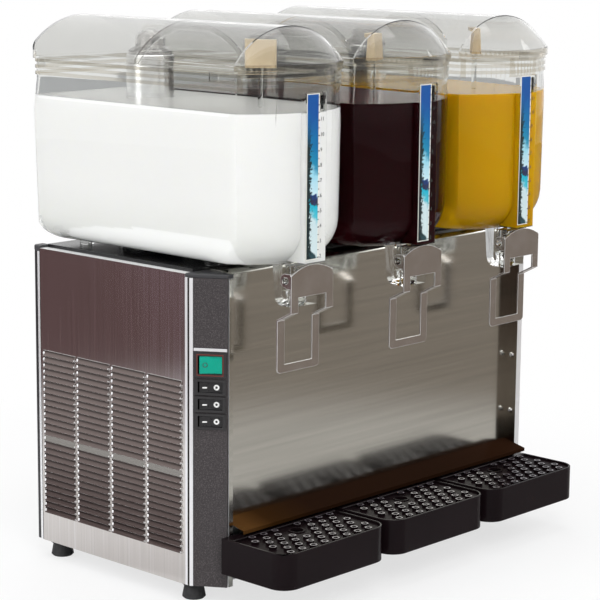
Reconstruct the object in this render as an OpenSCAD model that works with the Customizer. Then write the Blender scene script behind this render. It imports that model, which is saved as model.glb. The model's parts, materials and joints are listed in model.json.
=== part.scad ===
// Refrigerated juice dispenser with three clear bowls, push taps and drip trays.
// All lengths are millimetres. Inside place() y = 0 is the front of the corner strips, +Y runs to the
// back, z = 0 is the underside of the base pan, and x = 0 is the middle bowl.

/* [Cabinet] */
// Width of the cabinet
cabinet_w = 580; // [572:1:600]
// Depth of the cabinet from the corner strips to the rear posts
cabinet_d = 312; // [308:1:318]
// Height of the side panels above the base pan
cabinet_h = 368; // [350:1:390]
// Thickness of the folded sheet
sheet_t = 1.2; // [0.8:0.1:1.6]
// How far the splash panel lies behind the corner strips
panel_set = 16; // [12:1:20]
// Height of the bottom edge of the splash panel
panel_low = 78.5; // [74:0.5:84]
// Radius of the roll along the top of the splash panel
panel_roll = 5; // [3:0.5:8]
// How far the drip ledge reaches in front of the strips
ledge_out = 16.5; // [10:0.5:20]
// Drop of the drip ledge from the panel to its lip
ledge_drop = 8; // [4:0.5:9]
// Height of the lip on the drip ledge
ledge_lip = 3.5; // [2:0.5:4]
// Depth of the corner strip zone in front of the side panels
corner_d = 44; // [42:1:47]
// Depth of the slanted control column
column_d = 38; // [36:1:39]
// Width that the control column takes off the front
column_w = 25; // [22:1:26]
// Reach of the bright strip on the face of the control column
column_strip = 5.2; // [4:0.2:5.4]
// Wall of the control column
column_wall = 3; // [2:0.5:4]
// Width of the left strip beside the control column
strip_w = 6.5; // [6.5:0.5:10]
// Width of the right corner strip
right_strip_w = 9.4; // [7:0.2:12]
// Depth of a rear post
post_d = 14; // [12:1:15]
// Width of a rear post
post_w = 16; // [12:1:20]
// How far the rear panel lies inside the rear posts
rear_set = 10; // [8:1:12]
// Thickness of the caps on posts and columns
cap_t = 5; // [3:0.5:8]
// Width of the folded top edge of a side panel
fold_w = 12; // [8:1:16]

/* [Louvres] */
// Louvres in one column
louvre_rows = 27; // [10:1:28]
// Columns of louvres on a side panel
louvre_cols = 4; // [2:1:4]
// Length of one louvre
louvre_l = 57.5; // [40:0.5:58]
// Distance from one column to the next
louvre_pitch = 61.9; // [60:0.1:62]
// Distance from one louvre to the next below it
louvre_step = 7.65; // [6.5:0.05:8.5]
// Height of the lowest louvre
louvre_z = 36; // [20:1:60]
// How far a louvre stands out
louvre_out = 3; // [1:0.5:4]
// Height of the slanted blade of a louvre
louvre_h = 5.4; // [4:0.1:6]

/* [Deck and feet] */
// Thickness of the deck plate
deck_t = 12; // [8:1:16]
// How far the deck stands above the side panels
deck_rise = 4; // [2:0.5:8]
// Height of a foot
foot_h = 22; // [15:1:30]
// Diameter of a foot at its top
foot_d = 30; // [22:1:36]
// Distance of a foot from the sides
foot_in = 22; // [18:1:40]

/* [Bowls] */
// Distance from one bowl to the next
bowl_pitch = 196; // [190:1:200]
// Width of a bowl
bowl_w = 170; // [150:1:172]
// How far a bowl reaches in front of the strips
bowl_out = 65; // [60:1:66]
// Depth of the bowl behind the front strips
bowl_rear = 316; // [306:1:318]
// Height of a bowl from floor to rim
bowl_h = 219; // [212:1:226]
// Gap between the deck and the bowl floor
bowl_gap = 6; // [5:1:9]
// Wall of a bowl
bowl_wall = 3; // [2:0.5:4]
// Radius of the bowed front wall
bowl_bow = 114; // [100:1:140]
// Radius of the rear upright corners
bowl_corner = 10; // [9:1:20]
// Radius of the floor edge at the sides
bowl_side_r = 27; // [25:1:34]
// Radius of the floor edge at the back
bowl_back_r = 37; // [20:1:50]
// Radius of the floor edge at the front
bowl_front_r = 46; // [30:1:47]
// How far the rim bands stand out
band_out = 2; // [1:0.5:3]
// Height of one rim band
band_h = 4; // [2:0.5:5]
// Distance from one rim band to the next
band_step = 7.6; // [6:0.2:8]
// Width of the upright nose
nose_w = 36; // [30:1:40]
// Height of the nose foot above the bowl floor
nose_rise = 5; // [4:1:7]
// How far the nose reaches in front of the strips
nose_out = 71; // [68:1:74]
// Distance from the rim down to the top of the nose
nose_drop = 22; // [20:1:60]

/* [Lids] */
// Height of a lid
lid_h = 50.2; // [40:0.2:60]
// Height of the upright edge of a lid below the vault
lid_edge = 9; // [4:0.5:14]
// Wall of a lid
lid_wall = 2.5; // [1.5:0.5:4]
// Length of the sloping front of a lid
lid_slope = 42; // [36:1:60]
// Clearance between a lid and its bowl
lid_gap = 0.5; // [0.4:0.1:1]
// Depth of the lip inside the bowl
lid_lip = 5; // [3:0.5:8]
// Place of the stiffening arch behind the front strips
lid_arch_y = 131; // [60:1:150]
// Depth of the stiffening arch
lid_arch_h = 7; // [3:0.5:9]

/* [Cooling columns] */
// Diameter of a cooling cylinder
cooler_d = 57; // [50:1:62]
// Place of the cooling cylinders behind the front strips
cooler_y = 200; // [180:1:220]
// Height of a cooling cylinder above the bowl rim
cooler_top = 7; // [2:1:8]
// Diameter of the riser bore in a cooling cylinder
riser_d = 28; // [20:1:34]
// Thickness of the rubber seal round a cooling cylinder
seal_t = 6; // [4:0.5:8]
// Height of that seal
seal_h = 8; // [6:0.5:8.5]
// Height of a spray bell
bell_h = 30; // [20:1:31]
// Base diameter of a spray bell
bell_d = 53; // [44:1:54]
// Dome diameter of a spray bell
bell_dome_d = 36; // [28:1:40]
// Wall of a spray bell
bell_wall = 2; // [1.5:0.5:3]
// Diameter of the impeller spindle
spindle_d = 5; // [4:0.5:6]
// Diameter of a pump motor
pump_d = 56; // [44:1:60]
// Height of a pump motor
pump_h = 60; // [40:1:70]

/* [Selectors] */
// Place of a selector behind the front strips
selector_y = 17; // [5:1:40]
// Width of a selector knob
selector_w = 36; // [24:1:44]
// Thickness of a selector knob
selector_t = 14; // [8:1:18]
// Height of a selector knob
selector_h = 32; // [20:1:36]
// Diameter of a selector rod
selector_rod = 6; // [4:0.5:8]

/* [Taps] */
// Width of a tap lever
lever_w = 70; // [66:1:76]
// Thickness of the lever plate
lever_t = 1.8; // [1.2:0.1:2.5]
// Height of the lever head
lever_head = 53; // [50:1:58]
// Rise of the arched top of the lever head
lever_arch = 10; // [4:1:14]
// How far the lever steps back below its head
lever_step = 21; // [10:1:24]
// Height of that step
lever_step_h = 11; // [8:1:16]
// Height of the cup bow below the step
lever_bow = 61; // [40:1:70]
// Width of the window in the lever
window_w = 46; // [44:1:50]
// Height of the bar under the window
bow_bar = 9.5; // [6:0.5:14]
// Height of the window inside the head
window_head = 17.5; // [10:0.5:19]
// Diameter of a lever pivot
pivot_d = 8; // [6:0.5:9]
// Distance of the pivot behind the lever plate
pivot_back = 7.5; // [7.5:0.5:9]
// Distance of the pivot below the top of the lever
pivot_down = 16; // [14:1:18]
// Width of a spout block
spout_w = 40; // [38:1:42]
// Height of a spout block
spout_h = 51; // [48:1:54]
// Diameter of the valve bore
valve_d = 18; // [14:1:20]
// Distance of the valve behind the pivot
valve_back = 13; // [12:1:14]
// Diameter of the valve stem
stem_d = 6; // [4:0.5:7]
// Diameter of the collar on the stem
collar_d = 15; // [13:1:16]
// Wire of the valve spring
spring_wire = 1.2; // [0.8:0.1:1.4]
// Curls of a valve spring
spring_turns = 5; // [3:1:6]

/* [Drip trays] */
// Distance from one tray to the next
tray_pitch = 189; // [184:1:191]
// Width of a tray
tray_w = 180; // [150:1:182]
// Shift of the trays to the right
tray_shift = 2; // [-4:1:4]
// How far a tray reaches in front of the strips
tray_out = 103; // [98:1:106]
// Height of a tray
tray_h = 43; // [30:1:46]
// Height of the tray floor above the base pan
tray_z = 20; // [16:1:20]
// Wall of a tray
tray_wall = 2.5; // [2:0.5:4]
// Radius of the front corners of a tray
tray_corner = 22; // [10:1:30]
// Thickness of the grid plate
grid_t = 2; // [1.5:0.1:3]
// Depth of the grid plate below the tray rim
grid_sink = 3; // [1:0.5:5]
// Diameter of a raised stud on the grid
stud_d = 9; // [7:0.5:9.5]
// Diameter of the hole through a stud
stud_hole = 5.5; // [3:0.5:6]
// Distance between studs in a row
stud_pitch = 19; // [16:0.5:24]
// Distance between rows of studs
stud_row = 14; // [12:0.5:14]
// Diameter of the drain hole in the grid
drain_d = 16; // [10:1:20]
// Width of a bracket arm under a tray
arm_w = 22; // [14:1:30]
// Distance from the tray middle to a bracket arm
arm_x = 48; // [40:1:52]

/* [Switches] */
// Width of the switch frames
frame_w = 37; // [34:0.5:37.5]
// Height of the main switch frame
main_h = 29; // [26:0.5:30]
// Height of a pump switch frame
pump_switch_h = 18.4; // [17:0.2:19]
// Height of the middle of the main switch
main_z = 264; // [255:1:280]
// Distance from the main switch to the first pump switch
main_to_pump = 26; // [25:0.5:28]
// Distance between pump switches
switch_step = 20.1; // [19.6:0.1:22]
// Width of a rocker
rocker_w = 26; // [23:0.2:26.4]
// Tilt of a rocker to either side in degrees
rocker_tilt = 7; // [4:1:9]

/* [Cooling machine] */
// Diameter of the compressor
compressor_d = 140; // [110:1:150]
// Height of the compressor
compressor_h = 165; // [120:1:190]
// Thickness of the condenser
condenser_t = 28; // [20:1:34]
// Height of the condenser
condenser_h = 240; // [200:1:260]
// Fins on the condenser
fin_count = 24; // [10:1:30]
// Diameter of the fan
fan_d = 170; // [120:1:190]
// Blades of the fan
blade_count = 5; // [3:1:7]
// Diameter of the fan shaft
fan_shaft = 8; // [6:0.5:10]

/* [Fits] */
// Clearance between fixed round pieces
fixed_gap = 0.15; // [0.1:0.05:0.3]
// Clearance of a turning pin in its bore
run_gap = 0.05; // [0.02:0.01:0.08]
// Clearance between pieces that move apart
loose_gap = 0.3; // [0.3:0.05:0.5]
// Clearance round sliding plugs and drop-in pieces
slide_gap = 0.6; // [0.4:0.1:1]

/* [Hidden] */
$fn = 64;

// Cabinet planes
half_w = cabinet_w / 2;
left_in = -half_w + column_w + column_wall + strip_w;
right_in = half_w - right_strip_w;
panel_back = panel_set + sheet_t;
rear_out = cabinet_d - rear_set;
rear_in = rear_out - sheet_t;
posts_y = cabinet_d - post_d;
cap_z = cabinet_h - cap_t + 1;
deck_top = cabinet_h + deck_rise;
deck_low = deck_top - deck_t;
deck_half = half_w - fold_w - fixed_gap;
flange_t = 4;
flange_r = cooler_d / 2 + 14;
flange_low = deck_low - flange_t;

// Bowl planes
bowl_z = deck_top + bowl_gap;
rim_z = bowl_z + bowl_h;
bowl_half = bowl_w / 2;
hole_r = cooler_d / 2 + seal_t + slide_gap;
collar_wall = 5;
nose_top = rim_z - nose_drop;
cooler_z = rim_z + cooler_top;

// Lid planes
lid_z = rim_z + loose_gap;
lid_tab_t = 2;
lid_out = band_out + lid_gap + lid_tab_t;
lid_half = bowl_half + lid_out;
lid_front = -bowl_out - lid_out;
lid_rear = bowl_rear + lid_out;
lid_ridge = lid_z + lid_h;
lid_flange_in = bowl_wall + slide_gap + lid_tab_t;

// Tap planes
nose_low = bowl_z + nose_rise;
lever_top = nose_low - 2;
lever_y = -nose_out + 4.7;
lever_back = lever_y + lever_t;
pivot_y = lever_back + pivot_back;
pivot_z = lever_top - pivot_down;
valve_y = pivot_y + valve_back;
spout_z = nose_low - spout_h;
chamber_top = nose_low - 5;
chamber_low = spout_z + 17;
chamber_w = collar_d + 13;
tongue_z = pivot_z - 11;
tongue_t = 1.5;
tongue_end = valve_y + collar_d / 2 - 1.5;
chamber_back = tongue_end + 4;
duct_r = 3.6;
duct_y = chamber_back + duct_r + 1.8;
spout_back = duct_y + duct_r + 2.2;
spout_front = pivot_y - 1;
ear_t = 1.8;
boss_r = pivot_back - 0.5;
collar_z = tongue_z + tongue_t + loose_gap;
collar_t = 3;
stem_top = collar_z + collar_t + 8;
plug_low = spout_z + 1;
plug_top = chamber_low - 2;
spring_r = stem_d / 2 + spring_wire / 2 + 1.9;
spring_low = collar_z + collar_t + loose_gap;
spring_high = chamber_top - loose_gap;

// Tray planes
tray_rear = -2;
tray_top = tray_z + tray_h;
grid_rear = -ledge_out - sheet_t - 1.5;
grid_low = tray_top - grid_sink - grid_t;
shelf_w = 4;

// Switch planes
face_len = norm([column_w, column_d]);
face_turn = atan2(-column_d, column_w);
frame_proud = 2;
rocker_deep = 7;
rocker_pivot = 5;
frame_deep = 11;
rocker_pin = 3;

// Cord gland in the rear panel
gland_x = 210;
gland_z = 50;
gland_d = 18;

// Rest turn of each selector knob about its rod
selector_turn = [-47, 25, 43];

// The part stands on its feet, with the middle of its depth over the origin
front_y = -(max(lid_rear, cabinet_d) - tray_out) / 2;

function bowl_x(i) = (i - 1) * bowl_pitch;
function tray_x(i) = (i - 1) * tray_pitch + tray_shift;
function unit(v) = v / norm(v);
function left_normal(a, b) = let (d = unit(b - a)) [-d[1], d[0]];
function mitre(a, b, c) = let (m = (left_normal(a, b) + left_normal(b, c)) / 2) m / (m * m);
function path_normal(p, i) =
    i == 0 ? left_normal(p[0], p[1])
    : i == len(p) - 1 ? left_normal(p[i - 1], p[i])
    : mitre(p[i - 1], p[i], p[i + 1]);
function arc(c, r, a0, a1, n) = [for (k = [0 : n]) c + r * [cos(a0 + (a1 - a0) * k / n), sin(a0 + (a1 - a0) * k / n)]];

// Moves the drawing frame onto the floor and to the middle of the depth
module place() {
    translate([0, front_y, foot_h]) children();
}

// Runs a profile drawn as (y, z) along X between two places
module along_x(x0, x1) {
    translate([x0, 0, 0]) rotate([90, 0, 90]) linear_extrude(x1 - x0) children();
}

// Runs a profile drawn as (x, z) along Y between two places
module along_y(y0, y1) {
    translate([0, y1, 0]) rotate([90, 0, 0]) linear_extrude(y1 - y0) children();
}

// Raises a plan drawn as (x, y) between two heights
module along_z(z0, z1) {
    translate([0, 0, z0]) linear_extrude(z1 - z0) children();
}

module block(a, b) {
    translate(a) cube(b - a);
}

// A folded sheet whose one face follows the path
module sheet_profile(path, t) {
    back = [for (i = [len(path) - 1 : -1 : 0]) path[i] + t * path_normal(path, i)];
    polygon(concat(path, back));
}

// The sliver outside a rounded corner, for the quadrant of +X and +Y
module corner(r) {
    difference() {
        square(r + 1);
        circle(r);
    }
}

// A rectangle with rounded corners at its low edge, in short flats so that the walls meet cleanly
module rounded_base(a0, a1, z0, z1, r0, r1) {
    polygon(concat([[a0, z1]], arc([a0 + r0, z0 + r0], r0, 180, 270, 12), arc([a1 - r1, z0 + r1], r1, 270, 360, 12),
        [[a1, z1]]));
}

// Plan of a bowl: straight sides, a bowed front and rounded rear corners
module bowl_plan(inset) {
    half = bowl_half - inset;
    front = -bowl_out + inset;
    rear = bowl_rear - inset;
    bow = bowl_bow - inset;
    r = max(bowl_corner - inset, 1);
    difference() {
        union() {
            translate([-half, front + bow]) square([2 * half, rear - front - bow]);
            intersection() {
                translate([0, front + bow]) circle(bow);
                translate([-half, front]) square([2 * half, bow]);
            }
        }
        for (s = [0, 1]) mirror([s, 0]) translate([half - r, rear - r]) corner(r);
    }
}

// Round-bottomed form of a bowl, drawn in from its outer skin
module bowl_form(inset, top) {
    half = bowl_half - inset;
    low = bowl_z + inset;
    intersection() {
        along_z(low, top) bowl_plan(inset);
        along_x(-half, half) rounded_base(-bowl_out + inset, bowl_rear - inset, low, top,
            bowl_front_r - inset, bowl_back_r - inset);
        along_y(-bowl_out - 1, bowl_rear + 1) rounded_base(-half, half, low, top,
            bowl_side_r - inset, bowl_side_r - inset);
    }
}

// A ring that follows the bowl plan between two insets
module plan_ring(outer, inner, z0, z1) {
    along_z(z0, z1) difference() {
        bowl_plan(outer);
        bowl_plan(inner);
    }
}

// Places a piece on the slanted face of the control column: x along the face, -y outwards
module on_face(z) {
    translate([-half_w, column_d, z]) rotate([0, 0, face_turn]) children();
}

// Middle of the face that the bright strip leaves free
module on_column(z) {
    on_face(z) translate([(face_len + column_strip) / 2, 0, 0]) children();
}

// Base pan with the low front upstand behind the drip trays
module base_pan() {
    color("gainsboro") place() {
        along_z(0, sheet_t) {
            translate([-half_w + sheet_t, corner_d]) square([cabinet_w - 2 * sheet_t, posts_y - corner_d]);
            translate([left_in, panel_back]) square([right_in - left_in, corner_d - panel_back]);
            translate([-half_w + post_w + 1, posts_y]) square([cabinet_w - 2 * post_w - 2, rear_in - posts_y]);
        }
        block([left_in, panel_back, 0], [right_in, panel_back + sheet_t, panel_low - 1.5]);
    }
}

// Side panel with open louvres and a folded top edge, drawn for the left side
module side_panel() {
    first = corner_d + (posts_y - corner_d - (louvre_cols - 1) * louvre_pitch - louvre_l) / 2;
    window_h = louvre_rows * louvre_step;
    blade_t = sheet_t / cos(atan2(louvre_out, louvre_h));
    difference() {
        block([-half_w, corner_d, 0], [-half_w + sheet_t, posts_y, cabinet_h]);
        for (c = [0 : louvre_cols - 1])
            translate([-half_w - 1, first + c * louvre_pitch, louvre_z]) cube([sheet_t + 2, louvre_l, window_h]);
    }
    block([-half_w, corner_d, cabinet_h - sheet_t], [-half_w + fold_w, posts_y, cabinet_h]);
    for (c = [0 : louvre_cols - 1])
        along_y(first + c * louvre_pitch - 0.4, first + c * louvre_pitch + louvre_l + 0.4)
            for (r = [0 : louvre_rows - 1])
                translate([-half_w + 0.2, louvre_z + r * louvre_step + louvre_step - louvre_h])
                    polygon([[0.6, louvre_h], [0.6 - blade_t, louvre_h], [-louvre_out + 0.8, 0],
                        [-louvre_out + 0.8 + blade_t, 0]]);
}

module left_side_panel() {
    color("silver") place() side_panel();
}

module right_side_panel() {
    color("silver") place() mirror([1, 0, 0]) side_panel();
}

// Rear panel with rows of vent slots and a hole for the cord gland
module rear_panel() {
    slot_len = 60;
    slot_gap = 9;
    color("silver") place() {
        difference() {
            block([-half_w + post_w + 1, rear_in, 0], [half_w - post_w - 1, rear_out, cabinet_h]);
            for (x = [-170, 0, 170], r = [0 : 15])
                translate([x, rear_in + sheet_t / 2, 90 + r * slot_gap]) cube([slot_len, 3 * sheet_t, 4], center = true);
            translate([gland_x, rear_in - 1, gland_z]) rotate([-90, 0, 0]) cylinder(d = gland_d, h = sheet_t + 2);
        }
        block([-half_w + post_w + 1, posts_y, cabinet_h - sheet_t], [half_w - post_w - 1, rear_in, cabinet_h]);
    }
}

// Cord bush in the rear panel
module power_gland() {
    color("black") place() translate([gland_x, rear_out, gland_z]) rotate([-90, 0, 0]) rotate_extrude()
        polygon([[4.2, -9], [gland_d / 2 - fixed_gap, -9], [gland_d / 2 - fixed_gap, 0], [13, 0], [13, 2],
            [8, 8], [4.2, 8]]);
}

// Splash panel behind the taps, rolled back over the front of the deck
module front_splash_panel() {
    roll = [panel_back + panel_roll, cabinet_h + sheet_t - panel_roll];
    path = concat([[panel_set, panel_low]], arc(roll, panel_roll + sheet_t, 180, 90, 8),
        [[corner_d - loose_gap, cabinet_h + 2 * sheet_t]]);
    color("silver") place() along_x(left_in, right_in) sheet_profile(path, -sheet_t);
}

// Sloping ledge that throws drips into the trays
module drip_ledge() {
    back = panel_back + sheet_t;
    low = panel_low - 1;
    path = [[back, low + 18], [back, low], [-ledge_out, low - ledge_drop], [-ledge_out, low - ledge_drop - ledge_lip]];
    color("silver") place() along_x(left_in, right_in) sheet_profile(path, -sheet_t);
}

// Deck that carries the bowls and the cooling cylinders
module top_deck() {
    color("dimgray") place() difference() {
        block([-deck_half, corner_d, deck_low], [deck_half, posts_y - loose_gap, deck_top]);
        for (i = [0 : 2]) translate([bowl_x(i), cooler_y, deck_low - 1])
            cylinder(r = cooler_d / 2 + fixed_gap, h = deck_t + 2);
    }
}

// Rear post, hollow, with its outer rear edge rounded, drawn for the left side
module rear_post() {
    along_z(0, cap_z) difference() {
        translate([-half_w + 1, posts_y]) square([post_w, post_d]);
        translate([-half_w + 1 + 5, cabinet_d - 5]) rotate(90) corner(5);
        translate([-half_w + 3, posts_y + 2]) square([post_w - 4, post_d - 5]);
    }
}

module rear_corner_posts() {
    color("black") place() {
        rear_post();
        mirror([1, 0, 0]) rear_post();
    }
}

// Rear cap with the rounded corner of its post
module rear_cap() {
    along_z(cap_z, cap_z + cap_t + 2) difference() {
        translate([-half_w, posts_y]) square([post_w + 1, post_d]);
        translate([-half_w + 6, cabinet_d - 6]) rotate(90) corner(6);
    }
}

module post_caps() {
    color("dimgray") place() {
        rear_cap();
        mirror([1, 0, 0]) rear_cap();
        along_z(cap_z, cap_z + cap_t) polygon([[-half_w, corner_d], [-half_w, column_d], [-half_w + column_w, 0],
            [left_in, 0], [left_in, corner_d]]);
        along_z(cap_z, cap_z + cap_t) translate([right_in, 0]) square([right_strip_w, corner_d]);
    }
}

// Slanted column with the openings for the four switches
module control_column() {
    in = column_wall * unit([column_d, column_w]);
    color("dimgray") place() difference() {
        along_z(0, cap_z) polygon([[-half_w, column_d], [-half_w + column_w, 0], [-half_w + column_w, 0] + in,
            [-half_w, column_d] + in]);
        for (s = [0 : 3]) on_column(switch_z(s))
            cube([rocker_w + 6, 4 * column_wall, switch_h(s) - 3], center = true);
    }
}

function switch_z(s) = s == 0 ? main_z : main_z - main_to_pump - (s - 1) * switch_step;
function switch_h(s) = s == 0 ? main_h : pump_switch_h;
function rocker_h(s) = switch_h(s) - (s == 0 ? 9 : 6.4);

// Bright strips on the corners and one rule above the switches
module corner_strips() {
    in = column_wall * unit([column_d, column_w]);
    color("whitesmoke") place() {
        along_z(0, cap_z) translate([-half_w, column_d + in[1] + loose_gap])
            square([in[0], corner_d - column_d - in[1] - loose_gap]);
        on_face(0) block([0.9, -0.8, 0], [column_strip, 0, cap_z]);
        on_face(main_z + main_h / 2) block([column_strip + 0.8, -1.2, 1.4], [face_len - 0.5, 0, 4.8]);
        along_z(0, cap_z) {
            translate([-half_w + column_w + in[0], 0]) square([left_in + half_w - column_w - in[0], sheet_t]);
            translate([left_in - sheet_t, 0]) square([sheet_t, panel_back]);
        }
        along_z(0, cap_z) difference() {
            translate([right_in, 0]) square([right_strip_w, corner_d]);
            translate([right_in + sheet_t, sheet_t]) square([right_strip_w - 2 * sheet_t, corner_d]);
        }
        for (s = [0, 1]) mirror([s, 0, 0]) block([-half_w, posts_y + 1, 0], [-half_w + 1, posts_y + 5, cap_z]);
    }
}

// Four rubber feet with a waist and a flat sole
module feet() {
    color("black") place() for (x = [-half_w + foot_in, half_w - foot_in], y = [corner_d + 8, posts_y - 10])
        translate([x, y, -foot_h]) rotate_extrude() polygon([[0, 0], [foot_d / 2 - 3, 0], [foot_d / 2 - 1, 2],
            [foot_d / 2 - 3.5, foot_h - 7], [foot_d / 2, foot_h - 4], [foot_d / 2, foot_h], [0, foot_h]]);
}

// Bent arms that carry the drip trays
module tray_brackets() {
    top = tray_z - loose_gap;
    path = [[panel_back, 44], [panel_back, top - 2.5], [-tray_out + 28, top - 2.5]];
    color("lightgray") place() for (i = [0 : 2], s = [-1, 1])
        along_x(tray_x(i) + s * arm_x - arm_w / 2, tray_x(i) + s * arm_x + arm_w / 2) sheet_profile(path, -2.5);
}

// Domed screw with a cross slot, standing along +Z
module screw_head() {
    difference() {
        rotate_extrude() polygon([[0, 0], [3.6, 0], [3.4, 1], [2.2, 1.9], [0, 2.2]]);
        for (a = [0, 90]) rotate(a) translate([0, 0, 2]) cube([3.6, 0.8, 1.6], center = true);
    }
}

module panel_screws() {
    color("lightgray") place() {
        for (x = [-half_w + post_w + 12, 0, half_w - post_w - 12], z = [14, cabinet_h - 14])
            translate([x, rear_out, z]) rotate([-90, 0, 0]) screw_head();
        for (z = [118, 194]) translate([right_in, panel_set / 2, z]) rotate([0, -90, 0]) screw_head();
    }
}

// Frames that hold the rockers, with a pivot hole above and below each rocker
module switch_frames() {
    color("black") place() for (s = [0 : 3]) on_column(switch_z(s)) difference() {
        union() {
            block([-frame_w / 2, -frame_proud, -switch_h(s) / 2], [frame_w / 2, 0, switch_h(s) / 2]);
            translate([0, frame_deep / 2, 0])
                cube([rocker_w + 6 - 2 * fixed_gap, frame_deep, switch_h(s) - 3 - 2 * fixed_gap], center = true);
        }
        block([-rocker_w / 2 - 1.4, -frame_proud - 1, -rocker_h(s) / 2 - 0.4],
            [rocker_w / 2 + 1.4, frame_deep - 1.5, rocker_h(s) / 2 + 0.4]);
        translate([0, rocker_pivot, -switch_h(s)]) cylinder(d = rocker_pin + 2 * run_gap, h = 2 * switch_h(s));
    }
}

// Rocker with a dished face and two pivot pins, at rest with its front side pressed in
module rocker(s) {
    reach = switch_h(s) / 2 - 1.6;
    place() on_column(switch_z(s)) translate([0, rocker_pivot, 0]) rotate([0, 0, rocker_tilt]) {
        along_z(-rocker_h(s) / 2, rocker_h(s) / 2) polygon(concat(
            [for (k = [0 : 8]) [rocker_w * (k / 8 - 0.5),
                -rocker_pivot - frame_proud + 1.4 * (1 - pow(k / 4 - 1, 2))]],
            [[rocker_w / 2 - 1.5, rocker_deep - rocker_pivot], [-rocker_w / 2 + 1.5, rocker_deep - rocker_pivot]]));
        translate([0, 0, -reach]) cylinder(d = rocker_pin, h = 2 * reach);
    }
}

module main_switch() {
    color("mediumseagreen") rocker(0);
}

module pump_switch(i) {
    color([0.1, 0.1, 0.1]) rocker(i + 1);
}

// Steel cooling cylinders: flange under the deck, riser bore and the impeller spindle on its floor
module evaporators() {
    r = cooler_d / 2;
    floor_z = flange_low + 3;
    color("silver") place() for (i = [0 : 2]) translate([bowl_x(i), cooler_y, 0]) rotate_extrude()
        polygon([[0, flange_low], [flange_r, flange_low], [flange_r, deck_low], [r, deck_low], [r, cooler_z - 1],
            [r - 1, cooler_z], [riser_d / 2, cooler_z], [riser_d / 2, floor_z], [spindle_d / 2, floor_z],
            [spindle_d / 2, floor_z + 34], [0, floor_z + 34]]);
}

// Rubber seals between the cooling cylinders and the bowl floors
module bowl_seals() {
    r = cooler_d / 2 + fixed_gap;
    color("dimgray") place() for (i = [0 : 2]) translate([bowl_x(i), cooler_y, deck_top]) rotate_extrude()
        polygon([[r, 0], [r + seal_t, 0], [r + seal_t, seal_h - 3], [r + 2, seal_h], [r, seal_h]]);
}

// Clear bells that spread the pumped drink over the cooling cylinders
module spray_bells() {
    r = bell_d / 2;
    d = bell_dome_d / 2;
    dome_z = bell_h - d * 0.7;
    w = bell_wall;
    color([0.8, 0.9, 0.9, 0.5]) place() for (i = [0 : 2]) translate([bowl_x(i), cooler_y, cooler_z])
        rotate_extrude() polygon(concat([[r, 0], [r, 4], [d + 1.5, 9], [d, 11]],
            [for (a = [0 : 10 : 90]) [d * cos(a), dome_z + (bell_h - dome_z) * sin(a)]],
            [for (a = [90 : -10 : 0]) [(d - w) * cos(a), dome_z + (bell_h - dome_z - w) * sin(a)]],
            [[d - w, 10.5], [d - w + 1.2, 9], [r - w - 0.5, 3.4], [r - w - 0.5, 0]]));
}

// Pump motors under the cooling cylinders
module pump_motors() {
    r = pump_d / 2;
    color("darkslategray") place() for (i = [0 : 2]) translate([bowl_x(i), cooler_y, flange_low - pump_h])
        rotate_extrude() polygon([[0, 0], [r * 0.6, 0], [r * 0.7, 4], [r - 3, 4], [r, 7], [r, pump_h - 6],
            [r - 4, pump_h - 4], [r - 4, pump_h], [0, pump_h]]);
}

// Vane wheel that turns on the spindle at the foot of the riser
module impeller(i) {
    hub = spindle_d / 2 + 3;
    tip = riser_d / 2 - 1;
    color("ivory") place() translate([bowl_x(i), cooler_y, flange_low + 3 + 2]) difference() {
        union() {
            cylinder(r = hub, h = 28);
            cylinder(r = tip, h = 4);
            for (a = [0 : 60 : 300]) rotate(a) block([hub - 1, -0.8, 3], [tip - 0.6, 0.8, 18]);
        }
        translate([0, 0, -1]) cylinder(d = spindle_d + 2 * run_gap, h = 30);
    }
}

// Bowl lug: a half ring that stands on the deck
module bowl_lug() {
    along_z(deck_top + loose_gap, bowl_z + 1) difference() {
        circle(9);
        circle(5.5);
        translate([-10, 3]) square([20, 20]);
    }
}

// Spout block below the nose, tapered, with a rounded rear foot
module spout_block() {
    foot_r = 11;
    along_x(-spout_w / 2, spout_w / 2) difference() {
        polygon([[spout_front, nose_low + 1], [spout_front + 4, spout_z], [spout_back - 4, spout_z],
            [spout_back, bowl_z + 1]]);
        translate([spout_back - 3.6 - foot_r, spout_z + foot_r]) rotate(-90) corner(foot_r);
    }
}

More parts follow.
